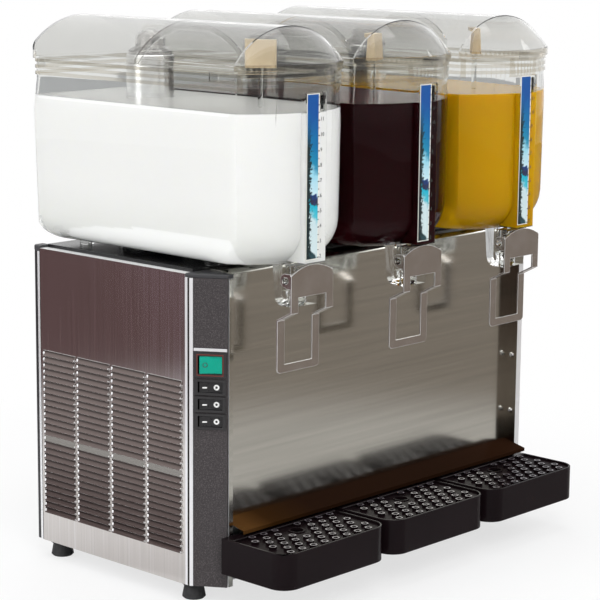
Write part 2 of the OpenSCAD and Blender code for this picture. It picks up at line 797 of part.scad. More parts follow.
// Clear bowl with rim bands, nose, floor collar, spout block and lever pivots
module bowl(i) {
    nose_back = -bowl_out + bowl_front_r + 10;
    color([0.85, 0.92, 0.92, 0.4]) place() translate([bowl_x(i), 0, 0]) difference() {
        union() {
            difference() {
                union() {
                    bowl_form(0, rim_z);
                    for (k = [0 : 2]) along_z(rim_z - band_h - k * band_step, rim_z - k * band_step)
                        bowl_plan(-band_out);
                    along_z(nose_low, nose_top) difference() {
                        translate([-nose_w / 2, -nose_out]) square([nose_w, nose_out + nose_back]);
                        for (s = [0, 1]) mirror([s, 0])
                            translate([nose_w / 2 - 4, -nose_out + 4]) rotate(-90) corner(4);
                    }
                }
                bowl_form(bowl_wall, rim_z + 1);
                block([-nose_w / 2 + bowl_wall, -nose_out + bowl_wall, nose_low + bowl_wall],
                    [nose_w / 2 - bowl_wall, nose_back - 1, nose_top - bowl_wall]);
            }
            translate([0, cooler_y, deck_top + loose_gap]) cylinder(r = hole_r + collar_wall, h = bowl_gap + 1);
            translate([0, selector_y, bowl_z + 1]) cylinder(d = selector_rod + 8, h = bowl_wall + 11);
            for (x = [-1, 1] * (bowl_half - 38), y = [corner_d + 4, bowl_rear - bowl_back_r - 14])
                translate([x, y, 0]) bowl_lug();
            spout_block();
            translate([-spout_w / 2 - 4, pivot_y, pivot_z]) rotate([0, 90, 0]) cylinder(r = boss_r, h = spout_w + 8);
            translate([-lever_w / 2 - 1.5, pivot_y, pivot_z]) rotate([0, 90, 0]) cylinder(d = pivot_d, h = lever_w + 3);
        }
        translate([0, cooler_y, deck_top - 1]) cylinder(r = hole_r, h = bowl_gap + bowl_wall + 4);
        translate([0, selector_y, bowl_z + bowl_wall + 1])
            cylinder(d = selector_rod + 2 * run_gap, h = 20);
        block([-chamber_w / 2, spout_front - boss_r - 2, chamber_low], [chamber_w / 2, chamber_back, chamber_top]);
        translate([0, valve_y, spout_z - 1]) cylinder(d = valve_d, h = chamber_low - spout_z + 2);
        translate([0, duct_y, spout_z + 5]) cylinder(r = duct_r, h = bowl_z + bowl_wall - spout_z);
        translate([0, duct_y, spout_z + 5 + duct_r]) rotate([90, 0, 0]) cylinder(r = duct_r - 0.8, h = duct_y - valve_y);
    }
}

// Vaulted form of a lid with a front that slopes down to the bowed rim, drawn in from its outer skin
module lid_form(inset, low) {
    half = lid_half - inset;
    top = lid_ridge - inset;
    spring_z = lid_z + lid_edge;
    rise = lid_ridge - spring_z;
    vault_r = (lid_half * lid_half + rise * rise) / (2 * rise);
    bow_y = -bowl_out + bowl_bow;
    bow_r = bowl_bow + lid_out - inset;
    steps = 8;
    intersection() {
        along_z(low, top) bowl_plan(inset - lid_out);
        along_y(lid_front, lid_rear) intersection() {
            translate([-half, low]) square([2 * half, top - low]);
            translate([0, lid_ridge - vault_r]) circle(vault_r - inset, $fn = 128);
        }
        union() {
            block([-half, bow_y, low], [half, lid_rear, top]);
            translate([0, bow_y, 0]) rotate_extrude($fn = 128) polygon(concat([[0, low], [bow_r, low]],
                [for (k = [0 : steps]) let (t = k / steps)
                    [bow_r - lid_slope * t, spring_z + rise * (t + 0.35 * t * (1 - t)) - inset * t]],
                [[0, top]]));
        }
    }
}

// Clear vaulted lid with a lip inside the bowl and tabs outside its rim
module lid(i) {
    tab_w = 14;
    color([0.85, 0.92, 0.92, 0.4]) place() translate([bowl_x(i), 0, 0]) {
        difference() {
            lid_form(0, lid_z);
            difference() {
                lid_form(lid_wall, lid_z - 1);
                translate([-lid_half, lid_arch_y, lid_z - 2]) cube([2 * lid_half, 2, lid_h]);
            }
            along_y(lid_arch_y - 1, lid_arch_y + 3) intersection() {
                translate([-lid_half + lid_arch_h, lid_z - 3]) square([2 * lid_half - 2 * lid_arch_h, lid_h]);
                translate([0, lid_ridge - lid_half * 1.32]) circle(lid_half * 1.32 - lid_wall - lid_arch_h, $fn = 128);
            }
        }
        plan_ring(-lid_out + 1, lid_flange_in, lid_z, lid_z + lid_wall);
        plan_ring(bowl_wall + slide_gap, lid_flange_in, lid_z - lid_lip, lid_z + 1);
        for (s = [0, 1], y = [-4, bowl_rear - bowl_corner - 16]) mirror([s, 0, 0])
            block([-lid_half, y, lid_z - 10], [-lid_half + lid_tab_t, y + tab_w, lid_z + 2]);
    }
}

// Sheet lever: arched head, step back, cup bow, two pivot ears and the lifting tongue
module tap_lever(i) {
    head_low = lever_top - lever_head;
    bow_z = head_low - lever_step_h;
    low = bow_z - lever_bow;
    bow_y = lever_y + lever_step;
    arch_r = (lever_w * lever_w / 4 + lever_arch * lever_arch) / (2 * lever_arch);
    path = [[lever_y, lever_top], [lever_y, head_low], [bow_y, bow_z], [bow_y, low]];
    ear_z = [pivot_z - 9, pivot_z + 8];
    color("silver") place() translate([bowl_x(i), 0, 0]) {
        intersection() {
            along_x(-lever_w / 2, lever_w / 2) sheet_profile(path, lever_t);
            along_y(lever_y - 1, bow_y + 2 * lever_t) difference() {
                intersection() {
                    rounded_base(-lever_w / 2, lever_w / 2, low, lever_top, 5, 5);
                    translate([0, lever_top - arch_r]) circle(arch_r, $fn = 128);
                }
                translate([-window_w / 2, low + bow_bar]) square([window_w, head_low + window_head - low - bow_bar]);
            }
        }
        for (s = [0, 1]) mirror([s, 0, 0]) difference() {
            along_x(-lever_w / 2, -lever_w / 2 + ear_t) union() {
                translate([lever_back - 0.5, ear_z[0]]) square([pivot_back + 0.5, ear_z[1] - ear_z[0]]);
                translate([pivot_y, pivot_z]) circle(8);
            }
            translate([-lever_w / 2 - 1, pivot_y, pivot_z]) rotate([0, 90, 0])
                cylinder(d = pivot_d + 2 * run_gap, h = ear_t + 2);
        }
        difference() {
            block([-collar_d / 2 - 3, lever_back - 0.5, tongue_z], [collar_d / 2 + 3, tongue_end, tongue_z + tongue_t]);
            block([-stem_d / 2 - 1, valve_y - 6.8, tongue_z - 1], [stem_d / 2 + 1, tongue_end + 1, tongue_z + 3]);
        }
    }
}

// Valve piston: plug in the bore, stem and the collar that the lever lifts
module tap_piston(i) {
    r = valve_d / 2 - loose_gap;
    color("white") place() translate([bowl_x(i), valve_y, 0]) rotate_extrude()
        polygon([[0, plug_low - 1], [r - 2, plug_low - 1], [r, plug_low + 2], [r, plug_low + 4],
            [r - 1, plug_low + 4.5], [r - 1, plug_low + 6], [r, plug_low + 6.5], [r, plug_top - 1],
            [r - 1, plug_top], [stem_d / 2, plug_top], [stem_d / 2, collar_z], [collar_d / 2, collar_z],
            [collar_d / 2, collar_z + collar_t], [stem_d / 2, collar_z + collar_t],
            [stem_d / 2, stem_top - 1], [stem_d / 2 - 1, stem_top], [0, stem_top]]);
}

// Points along the wire of a valve spring, with a straight stretch at either end
spring_rings = 8;
spring_sides = 6;
spring_count = spring_turns * spring_rings;
spring_rise = spring_high - spring_low - spring_wire;
function spring_at(k) = [spring_r * cos(360 * k / spring_rings), spring_r * sin(360 * k / spring_rings),
    spring_low + spring_wire / 2 + spring_rise * k / spring_count];
function spring_frame(k) = [cos(360 * k / spring_rings), sin(360 * k / spring_rings), 0];
function spring_along(k) = [-sin(360 * k / spring_rings), cos(360 * k / spring_rings), 0];
spring_path = concat([spring_at(0) - spring_wire * spring_along(0)], [for (k = [0 : spring_count]) spring_at(k)],
    [spring_at(spring_count) + spring_wire * spring_along(spring_count)]);
spring_dirs = concat([spring_frame(0)], [for (k = [0 : spring_count]) spring_frame(k)], [spring_frame(spring_count)]);
spring_gap = min([for (a = [0 : len(spring_path) - 1], b = [a + 5 : 1 : len(spring_path) - 1])
    norm(spring_path[a] - spring_path[b])]) - spring_wire;
echo(spring_gap = spring_gap);

// Coiled valve spring as one unbroken wire
module tap_spring(i) {
    n = len(spring_path);
    s = spring_sides;
    points = [for (k = [0 : n - 1], j = [0 : s - 1]) spring_path[k] + spring_wire / 2
        * (cos(360 * j / s) * spring_dirs[k] + sin(360 * j / s) * [0, 0, 1])];
    sides = [for (k = [0 : n - 2], j = [0 : s - 1], f = [0, 1]) let (a = k * s + j, b = k * s + (j + 1) % s)
        f == 0 ? [a, b, b + s] : [a, b + s, a + s]];
    ends = concat([for (j = [1 : s - 2]) [0, j + 1, j]],
        [for (j = [1 : s - 2]) [(n - 1) * s, (n - 1) * s + j, (n - 1) * s + j + 1]]);
    color("silver") place() translate([bowl_x(i), valve_y, 0]) polyhedron(points, concat(sides, ends));
}

// Turn knob on a rod that stands in a socket in the bowl floor
module selector(i) {
    low = rim_z + 1;
    rod_z = bowl_z + bowl_wall + 1 + loose_gap;
    color("wheat") place() translate([bowl_x(i), selector_y, 0]) rotate(selector_turn[i]) {
        translate([0, 0, rod_z]) cylinder(d = selector_rod, h = low + 4 - rod_z);
        intersection() {
            along_z(low, low + selector_h) circle(selector_w / 2);
            along_x(-selector_w / 2, selector_w / 2) polygon([[-selector_t / 2, low], [selector_t / 2 - 2, low],
                [selector_t / 2 - 4, low + selector_h - 6], [selector_t / 2, low + selector_h - 4],
                [selector_t / 2, low + selector_h], [-selector_t / 2 + 2, low + selector_h]]);
        }
    }
}

// Plan of a tray with round front corners
module tray_plan(inset) {
    half = tray_w / 2 - inset;
    r = tray_corner - inset;
    difference() {
        translate([-half, -tray_out + inset]) square([2 * half, tray_out + tray_rear - 2 * inset]);
        for (s = [0, 1]) mirror([s, 0]) translate([half - r, -tray_out + inset + r]) rotate(-90) corner(r);
    }
}

// Drip tray with a shelf for its grid and a closed strip under the ledge
module drip_tray(i) {
    color([0.12, 0.1, 0.1]) place() translate([tray_x(i), 0, 0]) difference() {
        along_z(tray_z, tray_top) tray_plan(0);
        along_z(tray_z + tray_wall, grid_low - 2 * loose_gap - 2) intersection() {
            tray_plan(tray_wall);
            translate([-tray_w, -tray_out]) square([2 * tray_w, tray_out]);
        }
        along_z(tray_z + tray_wall, grid_low - loose_gap) intersection() {
            tray_plan(tray_wall + shelf_w);
            translate([-tray_w, -tray_out]) square([2 * tray_w, tray_out + grid_rear - shelf_w]);
        }
        along_z(grid_low - loose_gap, tray_top + 1) intersection() {
            tray_plan(tray_wall);
            translate([-tray_w, -tray_out]) square([2 * tray_w, tray_out + grid_rear + slide_gap]);
        }
    }
}

// Middle of each stud, in staggered rows that leave room round the drain hole
grid_in = tray_wall + slide_gap;
stud_y = -tray_out + 8.6;
drain_y = stud_y + 4.1 * stud_row;
function stud_inside(x, y) = abs(x) < tray_w / 2 - grid_in - 8
    && norm([x, y - drain_y]) > drain_d / 2 + stud_d / 2 + 5
    && norm([max(abs(x) - tray_w / 2 + tray_corner, 0), max(-tray_out + tray_corner - y, 0)])
        < tray_corner - grid_in - stud_d / 2;
studs = [for (r = [0 : 5], c = [-5 : 5]) let (x = (c + (r % 2 == 0 ? 0.25 : -0.25)) * stud_pitch,
    y = stud_y + r * stud_row) if (stud_inside(x, y)) [x, y]];

// Drop-in grid with raised hollow studs and one drain hole
module drip_grid(i) {
    color([0.12, 0.1, 0.1]) place() translate([tray_x(i), 0, 0]) {
        along_z(grid_low, grid_low + grid_t) difference() {
            intersection() {
                tray_plan(grid_in);
                translate([-tray_w, -tray_out]) square([2 * tray_w, tray_out + grid_rear]);
            }
            for (p = studs) translate(p) circle(d = stud_hole, $fn = 24);
            translate([0, drain_y]) circle(d = drain_d);
        }
        along_z(grid_low + grid_t / 2, grid_low + grid_t + 3.4) for (p = studs) translate(p) difference() {
            circle(d = stud_d, $fn = 24);
            circle(d = stud_hole, $fn = 24);
        }
        along_z(grid_low + grid_t / 2, grid_low + grid_t + 1.2) translate([0, drain_y]) difference() {
            circle(d = drain_d + 5);
            circle(d = drain_d);
        }
    }
}

// Place of the compressor on the base pan
compressor_at = [150, 150];

// Domed compressor on a foot plate
module compressor() {
    r = compressor_d / 2;
    h = compressor_h;
    color([0.15, 0.15, 0.16]) place() translate([compressor_at[0], compressor_at[1], sheet_t]) {
        block([-r, -r * 0.7, 0], [r, r * 0.7, 3]);
        rotate_extrude() polygon([[0, 2], [r * 0.8, 2], [r, 18], [r, h * 0.5], [r + 2, h * 0.5], [r + 2, h * 0.5 + 6],
            [r, h * 0.5 + 6], [r, h - 40], [r * 0.86, h - 16], [r * 0.5, h - 3], [0, h]]);
    }
}

condenser_x = -half_w + sheet_t + 6;
condenser_y = [corner_d + 8, posts_y - 6];

// Finned condenser behind the left louvres
module condenser() {
    x1 = condenser_x + condenser_t;
    span = condenser_y[1] - condenser_y[0];
    color("dimgray") place() {
        for (k = [0 : fin_count])
            translate([condenser_x, condenser_y[0] + (span - 1) * k / fin_count, sheet_t]) cube([condenser_t, 1, condenser_h]);
        for (z = [20 : 40 : condenser_h - 10]) translate([condenser_x + condenser_t / 2, condenser_y[0], z + sheet_t])
            rotate([-90, 0, 0]) cylinder(d = 9, h = span);
        block([condenser_x, condenser_y[0], sheet_t], [x1, condenser_y[1], sheet_t + 2]);
    }
}

fan_x = condenser_x + condenser_t;
fan_y = (condenser_y[0] + condenser_y[1]) / 2;
fan_z = sheet_t + condenser_h / 2;

// Shroud plate on the condenser with a short inlet ring
module fan_shroud() {
    r = fan_d / 2 + 5;
    color("gray") place() difference() {
        union() {
            block([fan_x, condenser_y[0], sheet_t], [fan_x + 2, condenser_y[1], sheet_t + condenser_h]);
            translate([fan_x, fan_y, fan_z]) rotate([0, 90, 0]) cylinder(r = r + 3, h = 26);
        }
        translate([fan_x - 1, fan_y, fan_z]) rotate([0, 90, 0]) cylinder(r = r, h = 40);
    }
}

// Fan motor on a floor post, with its shaft towards the condenser
module fan_motor() {
    color([0.2, 0.2, 0.22]) place() {
        translate([fan_x + 36, fan_y, fan_z]) rotate([0, 90, 0]) cylinder(d = 66, h = 44);
        translate([fan_x + 12, fan_y, fan_z]) rotate([0, 90, 0]) cylinder(d = fan_shaft, h = 30);
        block([fan_x + 44, fan_y - 22, sheet_t], [fan_x + 72, fan_y + 22, fan_z - 20]);
    }
}

// Fan with pitched blades on the motor shaft
module fan_blades() {
    hub_r = 20;
    tip_r = fan_d / 2;
    color("dimgray") place() translate([fan_x + 14, fan_y, fan_z]) rotate([0, 90, 0]) difference() {
        union() {
            cylinder(r = hub_r, h = 18);
            for (a = [0 : blade_count - 1]) rotate(a * 360 / blade_count) translate([0, 0, 9]) rotate([28, 0, 0])
                intersection() {
                    translate([hub_r - 3, -17, -0.9]) cube([tip_r - hub_r, 34, 1.8]);
                    translate([0, 0, -20]) cylinder(r = tip_r - 3, h = 40);
                }
        }
        translate([0, 0, -2]) cylinder(d = fan_shaft + 2 * run_gap, h = 24);
    }
}

// Closed box for the switch gear and terminals
module electrical_box() {
    color("gainsboro") place() difference() {
        block([gland_x - 40, 240, sheet_t], [gland_x + 40, 288, 150]);
        block([gland_x - 38, 242, sheet_t + 2], [gland_x + 38, 286, 148]);
    }
}

// Pipes from the compressor to the three cooling cylinders
module refrigerant_pipes() {
    pipe_y = cooler_y + pump_d / 2 + 8;
    head_z = flange_low - pump_h - 16;
    side_y = compressor_at[1] + compressor_d / 2 + 3;
    color("chocolate") place() {
        translate([bowl_x(0), pipe_y, head_z]) rotate([0, 90, 0]) cylinder(d = 10, h = 2 * bowl_pitch);
        for (i = [0 : 2]) translate([bowl_x(i), pipe_y, head_z]) cylinder(d = 8, h = flange_low - head_z);
        translate([compressor_at[0], pipe_y, 60]) cylinder(d = 8, h = head_z - 60);
        translate([compressor_at[0], side_y, 60]) rotate([-90, 0, 0]) cylinder(d = 8, h = pipe_y - side_y);
    }
}

base_pan();
left_side_panel();
right_side_panel();
rear_panel();
front_splash_panel();
drip_ledge();
top_deck();
rear_corner_posts();
post_caps();
control_column();
corner_strips();
feet();
tray_brackets();
panel_screws();
switch_frames();
evaporators();
bowl_seals();
spray_bells();
pump_motors();
compressor();
condenser();
fan_shroud();
fan_motor();
fan_blades();
electrical_box();
refrigerant_pipes();
power_gland();
bowl(0);  // bowl_1
bowl(1);  // bowl_2
bowl(2);  // bowl_3
lid(0);  // lid_1
lid(1);  // lid_2
lid(2);  // lid_3
tap_lever(0);  // tap_lever_1
tap_lever(1);  // tap_lever_2
tap_lever(2);  // tap_lever_3
tap_piston(0);  // tap_piston_1
tap_piston(1);  // tap_piston_2
tap_piston(2);  // tap_piston_3
tap_spring(0);  // tap_spring_1
tap_spring(1);  // tap_spring_2
tap_spring(2);  // tap_spring_3
selector(0);  // selector_1
selector(1);  // selector_2
selector(2);  // selector_3
impeller(0);  // impeller_1
impeller(1);  // impeller_2
impeller(2);  // impeller_3
drip_tray(0);  // drip_tray_1
drip_tray(1);  // drip_tray_2
drip_tray(2);  // drip_tray_3
drip_grid(0);  // drip_grid_1
drip_grid(1);  // drip_grid_2
drip_grid(2);  // drip_grid_3
main_switch();
pump_switch(0);  // pump_switch_1
pump_switch(1);  // pump_switch_2
pump_switch(2);  // pump_switch_3
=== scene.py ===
"""Looks of a refrigerated juice dispenser: steel cabinet, clear bowls, drinks, printed strips and studio."""

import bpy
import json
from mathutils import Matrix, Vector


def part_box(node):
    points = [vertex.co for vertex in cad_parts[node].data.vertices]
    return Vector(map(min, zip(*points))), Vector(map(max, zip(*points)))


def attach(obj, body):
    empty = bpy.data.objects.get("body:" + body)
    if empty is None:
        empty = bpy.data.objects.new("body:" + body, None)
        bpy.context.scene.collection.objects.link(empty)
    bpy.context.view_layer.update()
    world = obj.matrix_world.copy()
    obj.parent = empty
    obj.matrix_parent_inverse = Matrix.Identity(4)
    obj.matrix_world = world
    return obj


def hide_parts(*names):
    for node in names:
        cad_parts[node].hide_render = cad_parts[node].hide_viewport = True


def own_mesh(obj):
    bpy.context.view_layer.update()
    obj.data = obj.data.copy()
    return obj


bl_info = {
    "name": "Juice Dispenser Looks",
    "version": (1, 0, 0),
    "blender": (4, 5, 0),
    "location": "3D View > Sidebar > Dispenser",
    "description": "Finishes, drinks, printed strips and studio for a juice dispenser with three bowls",
    "category": "Object",
}

import json
import math

import bmesh
import bpy
from bpy.props import FloatProperty, FloatVectorProperty, IntProperty, PointerProperty
from mathutils import Matrix, Vector

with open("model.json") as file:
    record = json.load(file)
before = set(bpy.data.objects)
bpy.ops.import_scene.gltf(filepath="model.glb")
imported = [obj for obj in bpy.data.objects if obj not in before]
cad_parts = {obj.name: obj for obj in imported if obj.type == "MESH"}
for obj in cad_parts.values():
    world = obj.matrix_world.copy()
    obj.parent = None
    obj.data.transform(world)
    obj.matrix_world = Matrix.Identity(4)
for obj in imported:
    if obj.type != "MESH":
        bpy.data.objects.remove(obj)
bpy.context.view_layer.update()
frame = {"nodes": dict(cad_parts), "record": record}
NODES = frame["nodes"]
BODY_OF = {n: body for body, names in frame["record"]["behaviour"]["bodies"].items() for n in names}
MM = 0.001
BOWLS = (1, 2, 3)

# Where the drawing frame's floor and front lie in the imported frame, and how far a drip tray reaches ahead
TRAY_REACH = 103
FOOT_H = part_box("base_pan")[0].z
FRONT_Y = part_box("drip_tray_1")[0].y + TRAY_REACH * MM

# Sizes of a bowl in the drawing frame, in millimetres: its walls, its bowed front and its rounded edges
BOWL_FLOOR, BOWL_WALL, BOWL_HALF, BOWL_FRONT, BOWL_REAR, BOWL_CORNER = 378, 3.0, 85, -65, 316, 10
BOW_RADIUS, SIDE_ROUND, BACK_ROUND, FRONT_ROUND = 114, 27, 37, 46
BOW_AXIS, BOWL_MIDDLE = BOWL_FRONT + BOW_RADIUS, 120.0
# Where a knob and a cooling cylinder stand behind the front
KNOB_Y, COOLER_Y = 17, 200
# The hollow nose at the front of a bowl: its face, half its room's width, and the room's front and floor
NOSE_FACE, NOSE_HALF, NOSE_ROOM, NOSE_FLOOR = -71.02, 15, -68, 386
# Heights: a knob is clear below the first, and a drink's faces above the second are its open surface
KNOB_FOOT, DRINK_UPPER = 597, 500
# The walls of a bowl lean out by this much between two heights above the floor
LEAN, LEAN_LOW, LEAN_HIGH = 3.5, 25, 195
# Heights of the moulded bands round the rims of a bowl and of a lid
BOWL_BANDS = [(577.6, 582.0), (585.2, 589.6), (592.8, 597.2)]
LID_BANDS = [(598.5, 602.5)]
# A side panel: its louvres' lowest edge, rows and closed row, their columns and blades, its face and top edge
LOUVRE_LOW, LOUVRE_STEP, LOUVRE_ROWS, CLOSED_ROW = 36, 7.65, 27, 12
COLUMN_STEP, BLADE_FRONT, BLADE_LENGTH, PANEL_FACE, PANEL_EDGE = 61.9, 49.4, 57.5, 290.6, 360
# Heights of the middles of the rockers, and how far their marks stand out of the face and reach into it
MAIN_SWITCH_Z, PUMP_SWITCH_Z, PUMP_SWITCH_STEP = 264, 238, 20.1
MARK_OUT, MARK_IN = 0.14, -0.1
# A printed strip: its picture's left edge from the bowl's middle, its lowest mark and its numbered litres
PICTURE_LEFT, SCALE_LOW, LITRES = -16, 389.5, range(2, 13)


def spot(x, y, z):
    """A point of the drawing frame, in millimetres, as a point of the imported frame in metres."""
    return Vector((x * MM, y * MM + FRONT_Y, z * MM + FOOT_H))


def height_of(point):
    """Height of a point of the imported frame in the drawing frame, in millimetres."""
    return (point.z - FOOT_H) / MM


def middle_x(node):
    """Middle of a node's width, in millimetres."""
    low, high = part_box(node)
    return (low.x + high.x) / 2 / MM


def circle(count):
    """Angles of the points of a full circle."""
    return [2 * math.pi * j / count for j in range(count)]


def link(name, mesh):
    """Puts a mesh in the scene as an object at the origin."""
    piece = bpy.data.objects.new(name, mesh)
    bpy.context.scene.collection.objects.link(piece)
    return piece


def link_bmesh(bm, name):
    """Puts a bmesh in the scene as an object with a mesh of its own."""
    mesh = bpy.data.meshes.new(name)
    bm.to_mesh(mesh)
    bm.free()
    return link(name, mesh)


def smooth(mesh, angle=35.0):
    """Shades a mesh smooth and keeps its real edges sharp."""
    mesh.shade_smooth()
    mesh.set_sharp_from_angle(angle=math.radians(angle))


def evaluated_mesh(piece):
    """A plain mesh of an object as its modifiers leave it."""
    graph = bpy.context.evaluated_depsgraph_get()
    graph.update()
    return bpy.data.meshes.new_from_object(piece.evaluated_get(graph))


def settle(piece):
    """Turns a piece and its modifiers into a plain mesh."""
    mesh = evaluated_mesh(piece)
    piece.modifiers.clear()
    piece.data = mesh
    mesh.name = piece.name


def finish_piece(piece, body, look):
    """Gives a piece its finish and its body."""
    piece.data.materials.clear()
    piece.data.materials.append(finish(look))
    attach(piece, body)


def dressed(node, look, bevel=0.0, segments=2, angle=35.0, edge=None, shape=None, even=False):
    """A copy of a CAD node with its facets merged and its edges eased, which stands for the node.

    The eased edges may have a finish of their own, and shape may change the mesh first. Large flats keep flat
    shading, unless the shading is to run evenly.
    """
    mesh = NODES[node].data.copy()
    mesh.name = node + "_skin"
    bm = bmesh.new()
    bm.from_mesh(mesh)
    bmesh.ops.remove_doubles(bm, verts=bm.verts, dist=2e-6)
    bmesh.ops.dissolve_limit(bm, angle_limit=math.radians(0.3), verts=bm.verts, edges=bm.edges)
    if shape:
        shape(bm)
    bm.to_mesh(mesh)
    bm.free()
    if "custom_normal" in mesh.attributes:
        mesh.attributes.remove(mesh.attributes["custom_normal"])
    piece = link(node + "_skin", mesh)
    mesh.materials.clear()
    for name in filter(None, (look, edge)):
        mesh.materials.append(finish(name))
    if bevel:
        ease = piece.modifiers.new("eased edges", "BEVEL")
        ease.width = bevel
        ease.segments = segments
        ease.limit_method = "ANGLE"
        ease.angle_limit = math.radians(40.0)
        ease.use_clamp_overlap = True
        ease.material = 1 if edge else -1
        settle(piece)
    smooth(piece.data, angle)
    if not even:
        flat = piece.modifiers.new("flats stay flat", "WEIGHTED_NORMAL")
        flat.keep_sharp = True
        settle(piece)
    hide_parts(node)
    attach(piece, BODY_OF[node])
    return piece


def paint_faces(piece, looks, pick):
    """Gives a piece further finishes; pick says the number of the finish that a face has."""
    for look in looks:
        piece.data.materials.append(finish(look))
    for face in piece.data.polygons:
        face.material_index = pick(face)


class Nodes:
    """A node tree, with helpers that add nodes to it and hand on their outputs."""

    def __init__(self, tree, family="ShaderNode"):
        self.tree, self.family = tree, family

    def feed(self, socket, value):
        """Gives an input its constant, or joins it to the output that feeds it."""
        if isinstance(value, bpy.types.NodeSocket):
            self.tree.links.new(value, socket)
        else:
            socket.default_value = value

    def fill(self, node, **sockets):
        """Feeds the named inputs of a node."""
        for name, value in sockets.items():
            self.feed(node.inputs[name.replace("_", " ")], value)

    def add(self, kind, operation=None, **sockets):
        """Adds a node with its operation and its inputs."""
        node = self.tree.nodes.new(self.family + kind)
        if operation:
            node.operation = operation
        self.fill(node, **sockets)
        return node

    def math(self, operation, *values, kind="Math"):
        """Works out a number from constants and outputs."""
        node = self.add(kind, operation)
        for socket, value in zip(node.inputs, values):
            self.feed(socket, value)
        return node.outputs["Value"]

    def show(self, share, first, second, out):
        """Shows a second shader through a first one, by a share, as the surface of an output node."""
        mix = self.add("MixShader", Fac=share)
        self.feed(mix.inputs[1], first.outputs[0])
        self.feed(mix.inputs[2], second.outputs[0])
        self.fill(out, Surface=mix.outputs[0])


class Finish(Nodes):
    """A material whose surface is one Principled shader, with patterns that change it from place to place."""

    def __init__(self, name, colour, roughness, metallic=0.0, **sockets):
        self.material = bpy.data.materials.new(name)
        self.material.use_nodes = True
        super().__init__(self.material.node_tree)
        self.shader = self.tree.nodes["Principled BSDF"]
        self.fill(self.shader, Base_Color=(*colour, 1.0), Roughness=roughness, Metallic=metallic, **sockets)
        self.material.diffuse_color = (*colour, 1.0)

    def place(self, scale=(1, 1, 1), shift=(0, 0, 0)):
        """Object coordinates, scaled and shifted."""
        coords = self.add("TexCoord").outputs["Object"]
        return self.add("Mapping", Vector=coords, Scale=scale, Location=shift).outputs["Vector"]

    def axes(self):
        """Object coordinates as three numbers."""
        return self.add("SeparateXYZ", Vector=self.place()).outputs

    def along(self, direction):
        """Distance of a place along a direction."""
        return self.math("DOT_PRODUCT", self.place(), direction, kind="VectorMath")

    def noise(self, scale, detail=3.0, stretch=(1, 1, 1), roughness=0.55):
        """A cloudy pattern on Object coordinates."""
        grain = self.add("TexNoise", Scale=scale, Detail=detail, Roughness=roughness)
        self.fill(grain, Vector=self.place(stretch))
        return grain.outputs["Fac"]

    def spread(self, pattern, low, high, start=0.3, end=0.7):
        """Maps a grey pattern to a range of numbers."""
        remap = self.add("MapRange", Value=pattern, From_Min=start, From_Max=end, To_Min=low, To_Max=high)
        return remap.outputs["Result"]

    def tint(self, pattern, stops):
        """Maps a grey pattern to colours."""
        ramp = self.add("ValToRGB", Fac=pattern)
        marks = ramp.color_ramp.elements
        while len(marks) > 1:
            marks.remove(marks[-1])
        marks[0].position, marks[0].color = stops[0][0], (*stops[0][1], 1.0)
        for position, colour in stops[1:]:
            mark = marks.new(position)
            mark.color = (*colour, 1.0)
        return ramp.outputs["Color"]

    def colour(self, pattern, stops):
        """Colours the surface by a grey pattern."""
        self.fill(self.shader, Base_Color=self.tint(pattern, stops))

    def gloss(self, pattern, low, high):
        """Lets the roughness follow a grey pattern."""
        self.fill(self.shader, Roughness=self.spread(pattern, low, high))

    def emboss(self, pattern, strength, depth):
        """Lets a grey pattern stand out of the surface."""
        bump = self.add("Bump", Strength=strength, Distance=depth, Height=pattern)
        self.fill(self.shader, Normal=bump.outputs["Normal"])


def shade(colour, factor):
    """A colour made lighter or darker."""
    return tuple(min(1.0, c * factor) for c in colour)


def toned(colour, factors):
    """A colour with each of its three parts changed."""
    return tuple(c * f for c, f in zip(colour, factors))


def drifting(colour, low, high):
    """Stops of a slight drift from a darker to a lighter tone."""
    return (0.3, shade(colour, low)), (0.7, shade(colour, high))


def hairline_steel(name, colour, rough, grain):
    """Sheet steel with faint hairlines, ready to be coloured."""
    steel = Finish(name, colour, rough[0], 1.0)
    lines = steel.noise(1.0, 4.0, grain, 0.6)
    steel.gloss(lines, *rough)
    steel.emboss(lines, 0.2, 0.000004)
    return steel


def brushed_steel(name, colour, rough, grain=(700, 700, 9)):
    """Sheet steel with faint clouds along its hairlines."""
    steel = hairline_steel(name, colour, rough, grain)
    clouds = steel.noise(1.0, 3.0, tuple(0.3 * g for g in grain))
    steel.colour(clouds, drifting(colour, 0.935, 1.055))
    return steel.material


def panel_steel(name, colour, rough):
    """Sheet steel with upright hairlines and a painted highlight that makes it paler and bluer towards its
    upper front corner.
    """
    steel = hairline_steel(name, colour, rough, (700, 700, 9))
    streaks = steel.noise(1.0, 3.0, (420, 420, 5))
    # Painted highlight: a share that grows towards the upper front corner blends in a pale bluish tone
    near = steel.spread(steel.along((0.0, -0.75, 0.65)), 0.0, 1.0, 0.16, 0.31)
    pale = toned(colour, (1.4, 1.5, 1.65))
    stops = ((0.3, shade(colour, 0.94)), (0.6, shade(colour, 1.04)), (1.0, pale))
    steel.colour(steel.math("MULTIPLY_ADD", near, 0.45, streaks), stops)
    return steel.material


def blade_steel(name, colour, rough):
    """Steel of the louvre blades, with painted shade on each blade under the edge of the blade above it and a
    painted lit band on its lower part.
    """
    steel = hairline_steel(name, colour, rough, (700, 9, 700))
    step = LOUVRE_STEP * MM
    rows = steel.math("MULTIPLY_ADD", steel.axes()["Z"], 1 / step, -(FOOT_H + LOUVRE_LOW * MM) / step)
    # Painted light and painted shade: lit and shaded tones of the blade steel, repeated every row
    light, dark = shade(colour, 1.35), shade(colour, 0.4)
    stops = ((0.0, dark), (0.06, dark), (0.12, light), (0.62, colour), (0.8, dark))
    steel.colour(steel.math("FRACT", rows), stops)
    return steel.material


